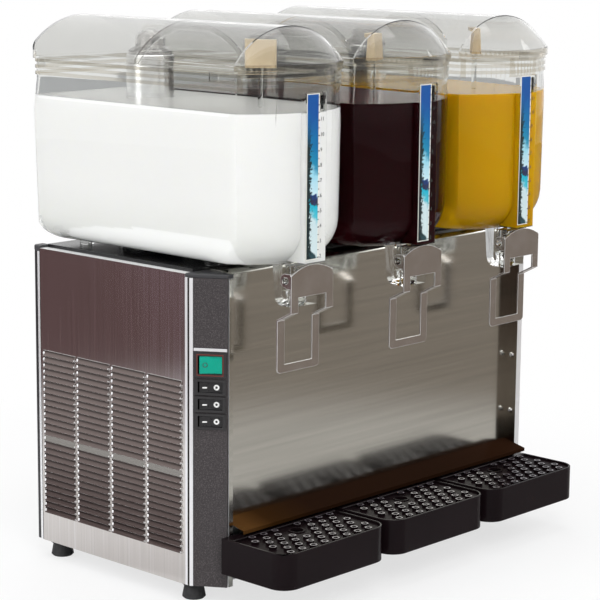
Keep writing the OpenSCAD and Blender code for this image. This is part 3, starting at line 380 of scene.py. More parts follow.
def warm_ledge(name, colour):
    """Steel with a painted reflection of its warm surroundings: yellowish at its left end, deep brown along
    the rest and lighter at its right end.
    """
    steel = Finish(name, colour, 0.2, 0.01, Specular_IOR_Level=0.0)
    # Painted reflection: the tone runs along the ledge from left to right
    along = steel.spread(steel.axes()["X"], 0.0, 1.0, -0.26, 0.28)
    painted_gold_reflection, painted_bronze_reflection = toned(colour, (4.7, 5.1, 2.9)), toned(colour, (1.9, 1.9, 1.0))
    far = shade(colour, 1.5)
    steel.colour(along, ((0.0, painted_gold_reflection), (0.04, painted_gold_reflection), (0.1, painted_bronze_reflection), (0.24, colour), (0.7, colour), (1.0, far)))
    steel.gloss(steel.noise(1.0, 3.0, (9, 500, 500)), 0.12, 0.2)
    return steel.material


def polished_steel(name, colour, rough):
    """Polished metal with a slight haze."""
    steel = Finish(name, colour, rough, 1.0)
    steel.gloss(steel.noise(60.0, 4.0), rough * 0.7, rough * 1.5)
    steel.emboss(steel.noise(900.0, 2.0), 0.05, 0.00001)
    return steel.material


def satin_trim(name, colour, metallic=0.45, rough=(0.24, 0.34)):
    """Bright satin trim that stays pale from every side."""
    trim = Finish(name, colour, rough[0], metallic)
    haze = trim.noise(7.0, 2.0)
    trim.gloss(haze, *rough)
    trim.colour(haze, drifting(colour, 0.96, 1.03))
    return trim.material


def speckled_plastic(name, colour, speck):
    """Dark plastic with a coarse moulded grain and fine pale specks."""
    plastic = Finish(name, colour, 0.5, 0.0, Specular_IOR_Level=0.3)
    texture = plastic.noise(620.0, 2.0)
    plastic.colour(plastic.noise(900.0, 1.0), ((0.5, colour), (0.66, speck)))
    plastic.gloss(texture, 0.42, 0.62)
    plastic.emboss(texture, 0.35, 0.0001)
    return plastic.material


def zinc_sheet(name, colour):
    """Galvanised sheet with pale flakes."""
    zinc = Finish(name, colour, 0.42, 0.9)
    flakes = zinc.add("TexVoronoi", Vector=zinc.place(), Scale=90.0).outputs["Distance"]
    zinc.colour(flakes, ((0.0, shade(colour, 0.85)), (0.6, shade(colour, 1.1))))
    zinc.gloss(zinc.noise(40.0), 0.34, 0.5)
    return zinc.material


def moulded_plastic(name, colour, rough=(0.3, 0.42), grain=350.0, depth=0.00004, shine=0.5):
    """Opaque plastic with a fine moulded grain and slight colour drift."""
    plastic = Finish(name, colour, rough[0], 0.0, Specular_IOR_Level=shine)
    texture = plastic.noise(grain, 3.0)
    plastic.gloss(texture, *rough)
    plastic.colour(plastic.noise(14.0, 2.0), drifting(colour, 0.85, 1.15))
    plastic.emboss(texture, 0.3, depth)
    return plastic.material


def clear_plastic(name, colour, rough, coat, bend=1.16):
    """Clear plastic with a glossy skin."""
    clear = Finish(
        name, colour, rough, 0.0, Transmission_Weight=1.0, IOR=bend, Coat_Weight=coat, Coat_Roughness=0.02)
    clear.gloss(clear.noise(30.0, 3.0), rough * 0.5, rough * 2.0)
    return clear.material


def drink(name, colour, deep, rough, scatter, reach):
    """A drink seen through the bowl, with another tone towards the floor."""
    juice = Finish(
        name, colour, rough, 0.0, Subsurface_Weight=scatter, IOR=1.34, Specular_IOR_Level=0.08,
        Subsurface_Radius=reach, Subsurface_Scale=0.02)
    floor = FOOT_H + BOWL_FLOOR * MM
    height = juice.spread(juice.axes()["Z"], 0.0, 1.0, floor, floor + 0.072)
    juice.colour(height, ((0.0, deep), (1.0, colour)))
    return juice.material


def strip_picture(name):
    """Print of plain wave bands, deep blue at the top and pale at the bottom, with a dark reed edge."""
    strip = Finish(name, (0.02, 0.2, 0.5), 0.42, 0.0, Specular_IOR_Level=0.2)
    coords = strip.add("TexCoord").outputs["UV"]
    across, up, _ = strip.add("SeparateXYZ", Vector=coords).outputs
    sized = strip.add("Mapping", Vector=coords, Scale=(0.018, 0.185, 1.0)).outputs["Vector"]
    swell = strip.add("TexNoise", Vector=sized, Scale=90.0, Detail=3.0).outputs["Fac"]
    reeds = strip.add("TexNoise", Vector=sized, Scale=260.0, Detail=4.0, Roughness=0.7).outputs["Fac"]
    drift = strip.math("MULTIPLY_ADD", across, 0.07, strip.math("MULTIPLY_ADD", swell, 0.16, up))
    bands = strip.tint(drift, (
        (0.0, (0.02, 0.05, 0.06)), (0.155, (0.02, 0.06, 0.07)), (0.17, (0.60, 0.72, 0.73)),
        (0.36, (0.56, 0.70, 0.73)), (0.40, (0.06, 0.47, 0.58)), (0.46, (0.0, 0.40, 0.56)),
        (0.475, (0.03, 0.02, 0.03)), (0.50, (0.0, 0.05, 0.22)), (0.515, (0.55, 0.74, 0.80)),
        (0.64, (0.30, 0.62, 0.74)), (0.70, (0.01, 0.24, 0.40)), (0.80, (0.0, 0.16, 0.36)),
        (1.0, (0.002, 0.075, 0.30)),
    ))
    edge = strip.spread(strip.math("MULTIPLY_ADD", across, -0.75, reeds), 0.0, 1.0, 0.22, 0.27)
    upper = strip.spread(up, 1.0, 0.0, 0.68, 0.86)
    printed = strip.add("Mix")
    printed.data_type = "RGBA"
    strip.fill(printed, Factor=strip.math("MULTIPLY", edge, upper))
    # inputs 6 and 7 of a Mix node are its two colours, and output 2 is the mixed one
    strip.feed(printed.inputs[6], bands)
    strip.feed(printed.inputs[7], (0.008, 0.02, 0.022, 1.0))
    strip.fill(strip.shader, Base_Color=printed.outputs[2])
    return strip.material


def recipes(look):
    """How each finish is made: its maker, its colour and the maker's further values."""
    milk, cherry, amber = look.milk, look.cherry, look.amber
    # The open surface of each drink has painted light: painted shade on the milk and the amber, a lighter
    # painted tone on the cherry
    milk_top, cherry_top, amber_top = shade(milk, 0.62), shade(cherry, 4.0), shade(amber, 0.7)
    milk_reach, cherry_reach, amber_reach = (1.0, 1.0, 0.9), (1.0, 0.2, 0.1), (1.0, 0.6, 0.1)
    splash = toned(look.steel, (0.96, 1.0, 0.95))
    level_lines = (9, 9, 600)
    plastics = {
        "tray_black": (look.tray, (0.16, 0.22), 420.0, 0.00001, 0.08),
        "grid_black": (look.tray, (0.3, 0.4), 420.0, 0.00001, 0.02),
        # Lighter plastic on the stud tops, as a painted highlight
        "stud_edge": ((0.12, 0.105, 0.12), (0.2, 0.3), 420.0, 0.00001),
        "deck_black": ((0.006, 0.006, 0.007), (0.16, 0.26)),
        "post_black": ((0.01, 0.01, 0.012), (0.3, 0.45)),
        "cap_grey": ((0.035, 0.035, 0.038), (0.35, 0.5)),
        "frame_black": ((0.02, 0.019, 0.02), (0.35, 0.5)),
        "rocker_black": ((0.016, 0.016, 0.017), (0.25, 0.38)),
        "rocker_green": (look.rocker, (0.16, 0.24), 200.0, 0.00001),
        "knob_beige": (look.knob, (0.34, 0.46), 300.0),
        "white_plastic": ((0.8, 0.8, 0.78),),
        "rubber": ((0.012, 0.012, 0.013), (0.55, 0.75), 260.0, 0.0001),
        "machine_black": ((0.02, 0.02, 0.022), (0.3, 0.45)),
        "outline_red": ((0.16, 0.03, 0.02), (0.3, 0.4)),
        "mark_white": ((0.8, 0.8, 0.78), (0.4, 0.5)),
        "mark_dark": ((0.03, 0.04, 0.035), (0.4, 0.5)),
        "strip_film": ((0.78, 0.77, 0.7), (0.3, 0.4), 200.0, 0.00001),
    }
    return {
        "side_steel": (panel_steel, look.steel, (0.09, 0.15)),
        # The louvre blades are the panel's steel painted darker, as painted shade
        "louvre_steel": (blade_steel, (0.17, 0.138, 0.13), (0.14, 0.22)),
        "blank_steel": (brushed_steel, (0.33, 0.32, 0.3), (0.2, 0.3), (700, 9, 700)),
        "shade_steel": (brushed_steel, (0.2, 0.17, 0.14), (0.12, 0.2)),
        "splash_steel": (brushed_steel, splash, (0.12, 0.18), level_lines),
        "ledge_steel": (warm_ledge, look.ledge),
        "lever_steel": (polished_steel, look.steel, 0.14),
        "strip_chrome": (satin_trim, (0.82, 0.82, 0.83)),
        "cooler_steel": (brushed_steel, (0.9, 0.9, 0.9), (0.18, 0.26), level_lines),
        "screw_steel": (polished_steel, (0.62, 0.62, 0.63), 0.22),
        "zinc": (zinc_sheet, (0.66, 0.67, 0.68)),
        "column_grey": (speckled_plastic, look.column, shade(look.column, 2.4)),
        "fin_metal": (zinc_sheet, (0.5, 0.51, 0.52)),
        "copper": (polished_steel, (0.72, 0.4, 0.25), 0.25),
        "bowl_clear": (clear_plastic, look.bowl, 0.012, 0.05),
        "lid_clear": (clear_plastic, look.lid, 0.012, 0.45),
        # Darker, warm clear plastic for the rim bands, as painted shade
        "rim_clear": (clear_plastic, (0.58, 0.54, 0.46), 0.03, 0.5),
        "bell_clear": (clear_plastic, (0.8, 0.79, 0.78), 0.012, 0.5, 1.4),
        # Pale trim on eased steel edges, as a painted highlight
        "edge_bright": (satin_trim, (0.85, 0.85, 0.85), 0.3, (0.4, 0.5)),
        "milk": (drink, milk, toned(milk, (0.9, 0.91, 0.89)), 0.25, 0.3, milk_reach),
        "cherry": (drink, cherry, shade(cherry, 1.4), 0.08, 0.0, cherry_reach),
        "amber": (drink, amber, shade(amber, 0.8), 0.12, 0.6, amber_reach),
        "milk_top": (drink, milk_top, milk_top, 0.2, 0.2, milk_reach),
        "cherry_top": (drink, cherry_top, cherry_top, 0.1, 0.0, cherry_reach),
        "amber_top": (drink, amber_top, amber_top, 0.15, 0.2, amber_reach),
        "strip_picture": (strip_picture,),
        **{name: (moulded_plastic, *values) for name, values in plastics.items()},
    }


MATERIALS = {}


def finish(name):
    """The named finish of this object, made on first use."""
    if name not in MATERIALS:
        maker, *values = recipes(bpy.context.scene.dispenser_colours)[name]
        MATERIALS[name] = maker(name, *values)
    return MATERIALS[name]


def slab(bm, low, high):
    """Adds a box to a mesh."""
    made = bmesh.ops.create_cube(bm, size=1.0)["verts"]
    bmesh.ops.scale(bm, vec=[h - l for l, h in zip(low, high)], verts=made)
    bmesh.ops.translate(bm, vec=[(h + l) / 2 for l, h in zip(low, high)], verts=made)


def rings_to_piece(name, rings):
    """Closes a stack of rings, low to high, into a solid piece."""
    bm = bmesh.new()
    rows = [[bm.verts.new(p) for p in ring] for ring in rings]
    n = len(rows[0])
    for lower, upper in zip(rows, rows[1:]):
        for j in range(n):
            bm.faces.new((lower[j], lower[(j + 1) % n], upper[(j + 1) % n], upper[j]))
    bm.faces.new(list(reversed(rows[0])))
    bm.faces.new(rows[-1])
    bmesh.ops.recalc_face_normals(bm, faces=bm.faces)
    return link_bmesh(bm, name)


def boolean(piece, tool, how):
    """Adds or cuts one closed mesh with another."""
    step = piece.modifiers.new(how.lower(), "BOOLEAN")
    step.operation = how
    step.object = tool
    step.solver = "EXACT"
    settle(piece)
    bpy.data.objects.remove(tool)


def rod(name, x, y, radius, z0, z1, count):
    """An upright cylinder as a tool for cutting."""
    ring = [(math.cos(t) * radius, math.sin(t) * radius) for t in circle(count)]
    return rings_to_piece(name, [[spot(x + a, y + b, z) for a, b in ring] for z in (z0, z1)])


def repeat_tree(name, kind, **settings):
    """A node tree that sets rows and columns of one small form, as one mesh with one finish."""
    tree = bpy.data.node_groups.new(name, "GeometryNodeTree")
    tree.interface.new_socket("Geometry", in_out="OUTPUT", socket_type="NodeSocketGeometry")
    for label, socket in (
        ("Columns", "Int"), ("Rows", "Int"), ("Column Step", "Vector"), ("Row Step", "Vector"),
        ("Place", "Vector"), ("Size", "Vector"), ("Finish", "Material"),
    ):
        tree.interface.new_socket(label, in_out="INPUT", socket_type="NodeSocket" + socket)
    nodes = Nodes(tree, "GeometryNode")
    given = tree.nodes.new("NodeGroupInput").outputs
    columns = nodes.add(
        "MeshLine", Count=given["Columns"], Start_Location=given["Place"], Offset=given["Column Step"])
    rows = nodes.add("MeshLine", Count=given["Rows"], Offset=given["Row Step"])
    spread = nodes.add("InstanceOnPoints", Points=columns.outputs[0], Instance=rows.outputs[0])
    points = nodes.add("RealizeInstances", Geometry=spread.outputs[0])
    form = nodes.add(kind, **settings)
    pieces = nodes.add(
        "InstanceOnPoints", Points=points.outputs[0], Instance=form.outputs[0], Scale=given["Size"])
    solid = nodes.add("RealizeInstances", Geometry=pieces.outputs[0])
    finished = nodes.add("SetMaterial", Geometry=solid.outputs[0], Material=given["Finish"])
    nodes.fill(tree.nodes.new("NodeGroupOutput"), Geometry=finished.outputs[0])
    return tree


def repeated(name, tree, body, slot, angle, **values):
    """Runs a repeat tree and keeps its result as a plain mesh that rides a body."""
    piece = link(name, bpy.data.meshes.new(name))
    step = piece.modifiers.new("repeat", "NODES")
    step.node_group = tree
    for item in tree.interface.items_tree:
        if item.in_out == "INPUT":
            step[item.identifier] = values[item.name.lower().replace(" ", "_")]
    settle(piece)
    smooth(piece.data, angle)
    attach(piece, body)


def prism(bm, outline, front, back):
    """Adds a plate; front and back give the two points in space of each point of its outline."""
    near = [bm.verts.new(front(*p)) for p in outline]
    far = [bm.verts.new(back(*p)) for p in outline]
    n = len(outline)
    bm.faces.new(near)
    bm.faces.new(list(reversed(far)))
    for j in range(n):
        bm.faces.new((near[j], far[j], far[(j + 1) % n], near[(j + 1) % n]))


def ring_band(bm, middle, outer, inner, front, back, count=32):
    """Adds a flat ring at a distance along the face, as a band of four-sided cells."""
    for j in range(count):
        a, b = 2 * math.pi * j / count, 2 * math.pi * (j + 1) / count
        corners = ((outer, a), (outer, b), (inner, b), (inner, a))
        prism(bm, [(middle + r * math.cos(t), r * math.sin(t)) for r, t in corners], front, back)


def to_piece(bm, name, body, look):
    """Closes a bmesh into a finished piece with outward faces."""
    bmesh.ops.remove_doubles(bm, verts=bm.verts, dist=1e-6)
    bmesh.ops.recalc_face_normals(bm, faces=bm.faces)
    piece = link_bmesh(bm, name)
    smooth(piece.data)
    finish_piece(piece, body, look)


def length_setting(name, note, value, least, most):
    """A length that a user may change."""
    return FloatProperty(name=name, description=note, default=value, min=least, max=most, unit="LENGTH")


def colour_setting(name, note, value):
    """A colour that a user may change."""
    return FloatVectorProperty(name=name, description=note, subtype="COLOR", size=3, default=value)


class DispenserSizes(bpy.types.PropertyGroup):
    """Sizes that the looks add to the solids."""

    drink_level: length_setting("Drink Level", "Height of the drinks above the bowl floor", 0.175, 0.05, 0.2)
    drink_depth: length_setting(
        "Drink Depth", "How far a drink reaches into the bowl wall, so that no air shows", 0.0019, 0.0005,
        0.0028)
    picture_width: length_setting("Picture Width", "Width of the picture on the nose", 0.018, 0.01, 0.02)
    litre_step: length_setting("Litre Step", "Distance between two litre marks", 0.0172, 0.012, 0.02)
    bead_size: length_setting("Louvre End", "Diameter of a rounded louvre end", 0.0052, 0.003, 0.007)
    louvre_rows: IntProperty(
        name="Louvre Rows", description="Louvres in one column", default=LOUVRE_ROWS, min=10, max=30)


class DispenserColours(bpy.types.PropertyGroup):
    """Colours of the visible finishes."""

    steel: colour_setting("Steel", "Sheet steel", (0.60, 0.57, 0.55))
    # The ledge colour is a painted reflection of brown surroundings on the steel
    ledge: colour_setting("Ledge", "Warm steel of the drip ledge", (0.017, 0.007, 0.0035))
    bowl: colour_setting("Bowls", "Clear plastic of the bowls", (0.87, 0.875, 0.865))
    lid: colour_setting("Lids", "Clear plastic of the lids", (0.8, 0.8, 0.785))
    milk: colour_setting("Milk", "Drink in the left bowl", (0.9, 0.9, 0.89))
    cherry: colour_setting("Cherry", "Drink in the middle bowl", (0.012, 0.0011, 0.0018))
    amber: colour_setting("Amber", "Drink in the right bowl", (0.6, 0.33, 0.004))
    tray: colour_setting("Tray", "Drip trays and grids", (0.008, 0.0045, 0.0055))
    column: colour_setting("Column", "Control column", (0.037, 0.032, 0.033))
    rocker: colour_setting("Main Switch", "Lit main switch", (0.0, 0.36, 0.25))
    knob: colour_setting("Knobs", "Turn knobs in the bowls", (0.66, 0.52, 0.33))


def camera_at_photo():
    """The camera at the viewing angle of the photograph."""
    yaw, pitch, roll = math.radians(47.14), math.radians(10.54), math.radians(0.518)
    sensor, focal_pixels, frame_pixels = 36.0, 2074.4, 600.0
    ahead = Vector((math.sin(yaw) * math.cos(pitch), math.cos(yaw) * math.cos(pitch), -math.sin(pitch)))
    right = Vector((math.cos(yaw), -math.sin(yaw), 0.0))
    up = right.cross(ahead)
    side = right * math.cos(roll) + up * math.sin(roll)
    top = -right * math.sin(roll) + up * math.cos(roll)
    data = bpy.data.cameras.new("photo_camera")
    data.sensor_width = sensor
    data.lens = sensor * focal_pixels / frame_pixels
    data.clip_start = 0.05
    eye = link("photo_camera", data)
    turn = Matrix((side, top, -ahead)).transposed()
    eye.matrix_world = Matrix.Translation(spot(-1900.3, -1628.8, 770.1)) @ turn.to_4x4()
    bpy.context.scene.camera = eye


def soft_box(name, place, aim, size, power):
    """A soft lamp at a place, turned to a point."""
    data = bpy.data.lights.new(name, "AREA")
    data.shape = "RECTANGLE"
    data.size, data.size_y = size
    data.energy = power
    lamp = link(name, data)
    lamp.location = place
    lamp.rotation_euler = (Vector(aim) - Vector(place)).to_track_quat("-Z", "Y").to_euler()


def white_world():
    """A world that lights softly and shows white to the camera, to metal and through glass."""
    world = bpy.data.worlds.new("studio")
    bpy.context.scene.world = world
    world.use_nodes = True
    world.node_tree.nodes.clear()
    sky = Nodes(world.node_tree)
    ray = sky.add("LightPath").outputs
    seen = sky.math("MAXIMUM", ray["Is Camera Ray"], ray["Is Glossy Ray"])
    shown = sky.math("MAXIMUM", seen, ray["Is Transmission Ray"])
    soft = sky.add("Background", Color=(0.95, 0.97, 1.0, 1.0), Strength=0.45)
    white = sky.add("Background", Color=(1.0, 1.0, 1.0, 1.0), Strength=1.0)
    sky.show(shown, soft, white, sky.add("OutputWorld"))


def pale_floor():
    """A floor that shows white where no shadow falls, and keeps the contact shadow of the feet and trays."""
    bm = bmesh.new()
    bmesh.ops.create_grid(bm, x_segments=1, y_segments=1, size=6.0)
    floor = link_bmesh(bm, "floor")
    pale = Finish("floor_pale", (0.9, 0.9, 0.9), 0.6)
    glow = pale.add("Emission", Color=(1.0, 1.0, 1.0, 1.0), Strength=1.0)
    away = pale.math("LENGTH", pale.place(), kind="VectorMath")
    seen = pale.add("LightPath").outputs["Is Camera Ray"]
    share = pale.math("MULTIPLY", seen, pale.spread(away, 0.7, 1.0, 0.42, 0.9))
    pale.show(share, pale.shader, glow, pale.tree.nodes["Material Output"])
    floor.data.materials.append(pale.material)


def dark_cards():
    """A ring of dim cards round the part, brown behind and greyer in front, which only polished faces see."""
    bm = bmesh.new()
    count, stretch = 64, 1.15
    rows = []
    for radius, height in ((0.3, 0.002), (0.9, 0.002), (3.2, 0.002), (3.3, 0.12)):
        ring = [(math.cos(t) * radius * stretch, math.sin(t) * radius, height) for t in circle(count)]
        rows.append([bm.verts.new(point) for point in ring])
    for a, b in zip(rows, rows[1:]):
        for j in range(count):
            bm.faces.new((a[j], b[j], b[(j + 1) % count], a[(j + 1) % count]))
    card = link_bmesh(bm, "dim_cards")
    dim = Finish("card_dim", (0.05, 0.03, 0.03), 0.9)
    away = dim.math("LENGTH", dim.place((1 / stretch, 1, 0), (0.14, -0.16, 0)), kind="VectorMath")
    ahead = dim.along((0.73, -0.68, 0.0))
    fade, near = dim.spread(away, 0.0, 1.0, 0.55, 1.15), dim.spread(ahead, 0.0, 0.6, -0.5, 0.5)
    side = dim.spread(ahead, 0.0, 1.0, -0.5, 0.5)
    tone = dim.tint(side, ((0.0, (0.15, 0.093, 0.096)), (1.0, (0.285, 0.247, 0.216))))
    glow, clear = dim.add("Emission", Color=tone, Strength=1.0), dim.add("BsdfTransparent")
    dim.show(dim.math("MAXIMUM", fade, near), clear, glow, dim.tree.nodes["Material Output"])
    card.data.materials.append(dim.material)
    for kind in ("camera", "diffuse", "shadow", "transmission", "volume_scatter"):
        setattr(card, "visible_" + kind, False)


class DISPENSER_OT_stage(bpy.types.Operator):
    """Sets up the pale floor, the soft lamps, the dark cards that steel reflects and the camera"""

    bl_idname = "dispenser.stage"
    bl_label = "Stage"

    def execute(self, context):
        context.scene.view_settings.view_transform = "Standard"
        white_world()
        camera_at_photo()
        pale_floor()
        dark_cards()
        for lamp in (
            ("key", (-1.6, -2.2, 2.3), (0, 0, 0.3), (1.6, 1.6), 48.0),
            ("left", (-2.4, 0.6, 1.3), (0, 0, 0.35), (1.2, 1.8), 17.0),
            ("right", (2.2, -1.4, 1.6), (0, 0, 0.35), (1.4, 1.6), 20.0),
            ("top", (0.0, 0.3, 2.6), (0, 0, 0.3), (2.2, 2.0), 30.0),
        ):
            soft_box(*lamp)
        return {"FINISHED"}


def lengthen_blades(bm):
    """Draws the lower edge of every louvre blade down, so that only a narrow slit shows below it."""
    for corner in bm.verts:
        height = height_of(corner.co) - LOUVRE_LOW
        if 0 < height < LOUVRE_ROWS * LOUVRE_STEP and 1.9 < height % LOUVRE_STEP < 2.6:
            corner.co.z -= 1.5 * MM


def panel_finish(face):
    """Finish of a side panel's face: steel, painted highlight on the upper edge, louvre blade with painted
    shade or blade of the closed row.
    """
    if 0.2 < face.normal.z < 0.5:
        row = int((height_of(face.center) - LOUVRE_LOW) / LOUVRE_STEP)
        return 3 if row == CLOSED_ROW else 2
    if face.normal.z > 0.8 and height_of(face.center) > PANEL_EDGE:
        return 1
    return face.material_index


def strip_finish(face):
    """Finish of a corner strip's face: bright trim, front steel on the left or shaded side on the right."""
    if face.center.x > 0.2 and face.normal.x < -0.5:
        return 2
    if face.center.x < 0.2 and face.normal.y < -0.9:
        return 1
    return face.material_index


class DISPENSER_OT_cabinet(bpy.types.Operator):
    """Finishes the sheet metal, posts, strips, column, feet and brackets of the cabinet"""

    bl_idname = "dispenser.cabinet"
    bl_label = "Cabinet"

    def execute(self, context):
        for side in ("left", "right"):
            # The eased edges and the upper edge get a painted highlight, the louvre blades painted shade
            panel = dressed(
                f"{side}_side_panel", "side_steel", 0.0003, 1, 12, edge="edge_bright", shape=lengthen_blades)
            paint_faces(panel, ("louvre_steel", "blank_steel"), panel_finish)
        dressed("rear_panel", "side_steel")
        dressed("front_splash_panel", "splash_steel")
        dressed("drip_ledge", "ledge_steel", 0.0003)
        strips = dressed("corner_strips", "strip_chrome", 0.0003)
        paint_faces(strips, ("splash_steel", "shade_steel"), strip_finish)
        dressed("control_column", "column_grey", 0.0004)
        dressed("rear_corner_posts", "post_black", 0.0004)
        dressed("post_caps", "cap_grey", 0.0014, 3)
        dressed("top_deck", "deck_black", 0.001)
        dressed("feet", "rubber")
        dressed("tray_brackets", "zinc", 0.0003)
        dressed("base_pan", "zinc")
        dressed("panel_screws", "screw_steel")
        return {"FINISHED"}


class DISPENSER_OT_louvre_ends(bpy.types.Operator):
    """Adds the rounded ends of the pressed louvres to both side panels, with the pale trim finish as a
    painted highlight
    """

    bl_idname = "dispenser.louvre_ends"
    bl_label = "Louvre Ends"

    def execute(self, context):
        sizes = context.scene.dispenser_sizes
        tree = repeat_tree("louvre_ends", "MeshUVSphere", Segments=8, Rings=5, Radius=0.5)
        big, inset = sizes.bead_size, 0.9
        for side, x in (("left", -PANEL_FACE), ("right", PANEL_FACE)):
            for end, y, z, size in (
                ("rear", BLADE_FRONT + BLADE_LENGTH - inset, LOUVRE_LOW + 3.6, (0.6, 0.72, 0.98)),
                ("front", BLADE_FRONT + inset, LOUVRE_LOW + 1.9, (0.55, 0.6, 0.6)),
            ):
                # The pale trim on the louvre ends is a painted highlight on the panel steel
                repeated(
                    f"louvre_{end}_ends_{side}", tree, "cabinet", "brushed_sheet", 70, columns=4,
                    rows=sizes.louvre_rows, column_step=(0.0, COLUMN_STEP * MM, 0.0),
                    row_step=(0.0, 0.0, LOUVRE_STEP * MM), place=spot(x, y, z),
                    size=[big * share for share in size], finish=finish("strip_chrome"))
        return {"FINISHED"}


# The slanted face of the control column, from above: its run from a corner, how far the switch frames stand
# out of it, its direction, its inward side and the middle of its switches
COLUMN_RUN, COLUMN_CORNER, CORNER_ROOM, FRAME_OUT = Vector((25, -38)), Vector((-290, 38)), 5.2, 2
COLUMN_ALONG, COLUMN_INWARD = COLUMN_RUN.normalized(), Vector((-COLUMN_RUN.y, COLUMN_RUN.x)).normalized()
COLUMN_MIDDLE = COLUMN_CORNER + COLUMN_ALONG * (math.hypot(*COLUMN_RUN) + CORNER_ROOM) / 2


def switch_face(z, lift, tilt=7, hollow=1.4):
    """Gives the point at a distance along a switch's face and a height, lifted clear of the face.

    The face of a rocker is tilted and hollow, and that of its frame is neither.
    """
    turn, pivot, width = math.radians(tilt), 5.0, 26

    def at(u, h):
        d = -FRAME_OUT + hollow * (1 - (2 * u / width) ** 2) - lift - pivot
        u, d = u * math.cos(turn) - d * math.sin(turn), u * math.sin(turn) + d * math.cos(turn) + pivot
        place = COLUMN_MIDDLE + COLUMN_ALONG * u + COLUMN_INWARD * d
        return spot(place.x, place.y, z + h)

    return at


def oblong(u, h, width, height, count=10):
    """Outline of a bar with round ends."""
    r, half = height / 2, width / 2 - height / 2
    turn = [math.pi * j / count - math.pi / 2 for j in range(count + 1)]
    right = [(u + half + r * math.cos(t), h + r * math.sin(t)) for t in turn]
    left = [(u - half - r * math.cos(t), h - r * math.sin(t)) for t in turn]
    return right + left


class DISPENSER_OT_switches(bpy.types.Operator):
    """Finishes the rockers and adds their plain marks"""

    bl_idname = "dispenser.switches"
    bl_label = "Switches"

    def execute(self, context):
        dressed("switch_frames", "frame_black", 0.0006)
        dressed("main_switch", "rocker_green", 0.0005)
        bm = bmesh.new()
        front, back = switch_face(MAIN_SWITCH_Z, MARK_OUT), switch_face(MAIN_SWITCH_Z, MARK_IN)
        ring_band(bm, -6.5, 2.9, 2.1, front, back)
        to_piece(bm, "main_switch_ring", "main_switch", "mark_dark")
        bm = bmesh.new()
        front, back = (switch_face(MAIN_SWITCH_Z, lift, 0, 0) for lift in (0.25, -0.3))
        wide, tall, band = 15.6, 12.6, 1.0
        for u0, h0, u1, h1 in (
            (-wide, -tall, band - wide, tall), (wide - band, -tall, wide, tall),
            (band - wide, tall - band, wide - band, tall), (band - wide, -tall, wide - band, band - tall),
        ):
            prism(bm, [(u0, h0), (u1, h0), (u1, h1), (u0, h1)], front, back)
        to_piece(bm, "main_switch_outline", "cabinet", "outline_red")
        for k in BOWLS:
            dressed(f"pump_switch_{k}", "rocker_black", 0.0005)
            z = PUMP_SWITCH_Z - PUMP_SWITCH_STEP * (k - 1)
            bm = bmesh.new()
            front, back = switch_face(z, MARK_OUT), switch_face(z, MARK_IN)
            prism(bm, oblong(-7.0, -0.4, 5.6, 1.7), front, back)
            ring_band(bm, 6.6, 3.3, 1.4, front, back)
            to_piece(bm, f"pump_switch_marks_{k}", f"pump_switch_{k}", "mark_white")
        return {"FINISHED"}


def valve_spring(k, turns=5, steps=36, sides=10):
    """Winds a valve spring as one round wire."""
    low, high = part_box(f"tap_spring_{k}")
    wire = 0.0006
    centre, radius = (low + high) / 2, (high.x - low.x) / 2 - wire
    rise = high.z - low.z - 2 * wire
    rings = []
    for j in range(turns * steps + 1):
        a = 2 * math.pi * j / steps
        out = Vector((math.cos(a), math.sin(a), 0.0))
        at = Vector((centre.x, centre.y, low.z + wire + rise * j / (turns * steps))) + out * radius
        rings.append([at + (out * math.cos(t) + Vector((0, 0, math.sin(t)))) * wire for t in circle(sides)])
    piece = rings_to_piece(f"tap_spring_{k}_wire", rings)
    smooth(piece.data, 60)
    finish_piece(piece, BODY_OF[f"tap_spring_{k}"], "screw_steel")
    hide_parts(f"tap_spring_{k}")
    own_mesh(piece)


def drawn_in(radius, height):
    """How far a rounded lower edge draws in at a height above the floor."""
    if height >= radius:
        return 0.0
    return radius - math.sqrt(max(radius ** 2 - (radius - height) ** 2, 0.0))


def bowl_point(x, y, z):
    """Where a point of a bowl, measured from its middle, goes.

    The bowed front is rounded all along its lower edge, and the walls lean out a little towards the rim.
    """
    height = z - BOWL_FLOOR
    if height < 0:
        return x, y
    if LEAN_LOW < height < LEAN_HIGH:
        lean = LEAN * (height - LEAN_LOW) / (LEAN_HIGH - LEAN_LOW)
        behind = max(y - BOWL_MIDDLE, 0.0) / (BOWL_REAR - BOWL_MIDDLE)
        x, y = x + lean * x / BOWL_HALF, y + lean * behind
    if height < FRONT_ROUND and y < BOW_AXIS:
        turn = math.atan2(abs(x), BOW_AXIS - y)
        bowed = BOW_RADIUS - drawn_in(FRONT_ROUND, height)
        straight = min(BOW_RADIUS, (BOWL_HALF - drawn_in(SIDE_ROUND, height)) / max(math.sin(turn), 1e-6))
        straight = min(straight, bowed / max(math.cos(turn), 1e-6))
        beside_nose = min(max((abs(x) - 20) / 12, 0.0), 1.0)
        share = 1 - beside_nose * (1 - min(1.0, bowed / straight))
        x, y = x * share, BOW_AXIS + (y - BOW_AXIS) * share
    return x, y


def is_crease(edge):
    """Whether an edge is a long upright crease between two walls of a bowl."""
    along = (edge.verts[0].co - edge.verts[1].co).normalized()
    upright = edge.is_manifold and edge.calc_length() > 0.05 and abs(along.z) > 0.999
    return upright and 0.4 < edge.calc_face_angle() < 1.2


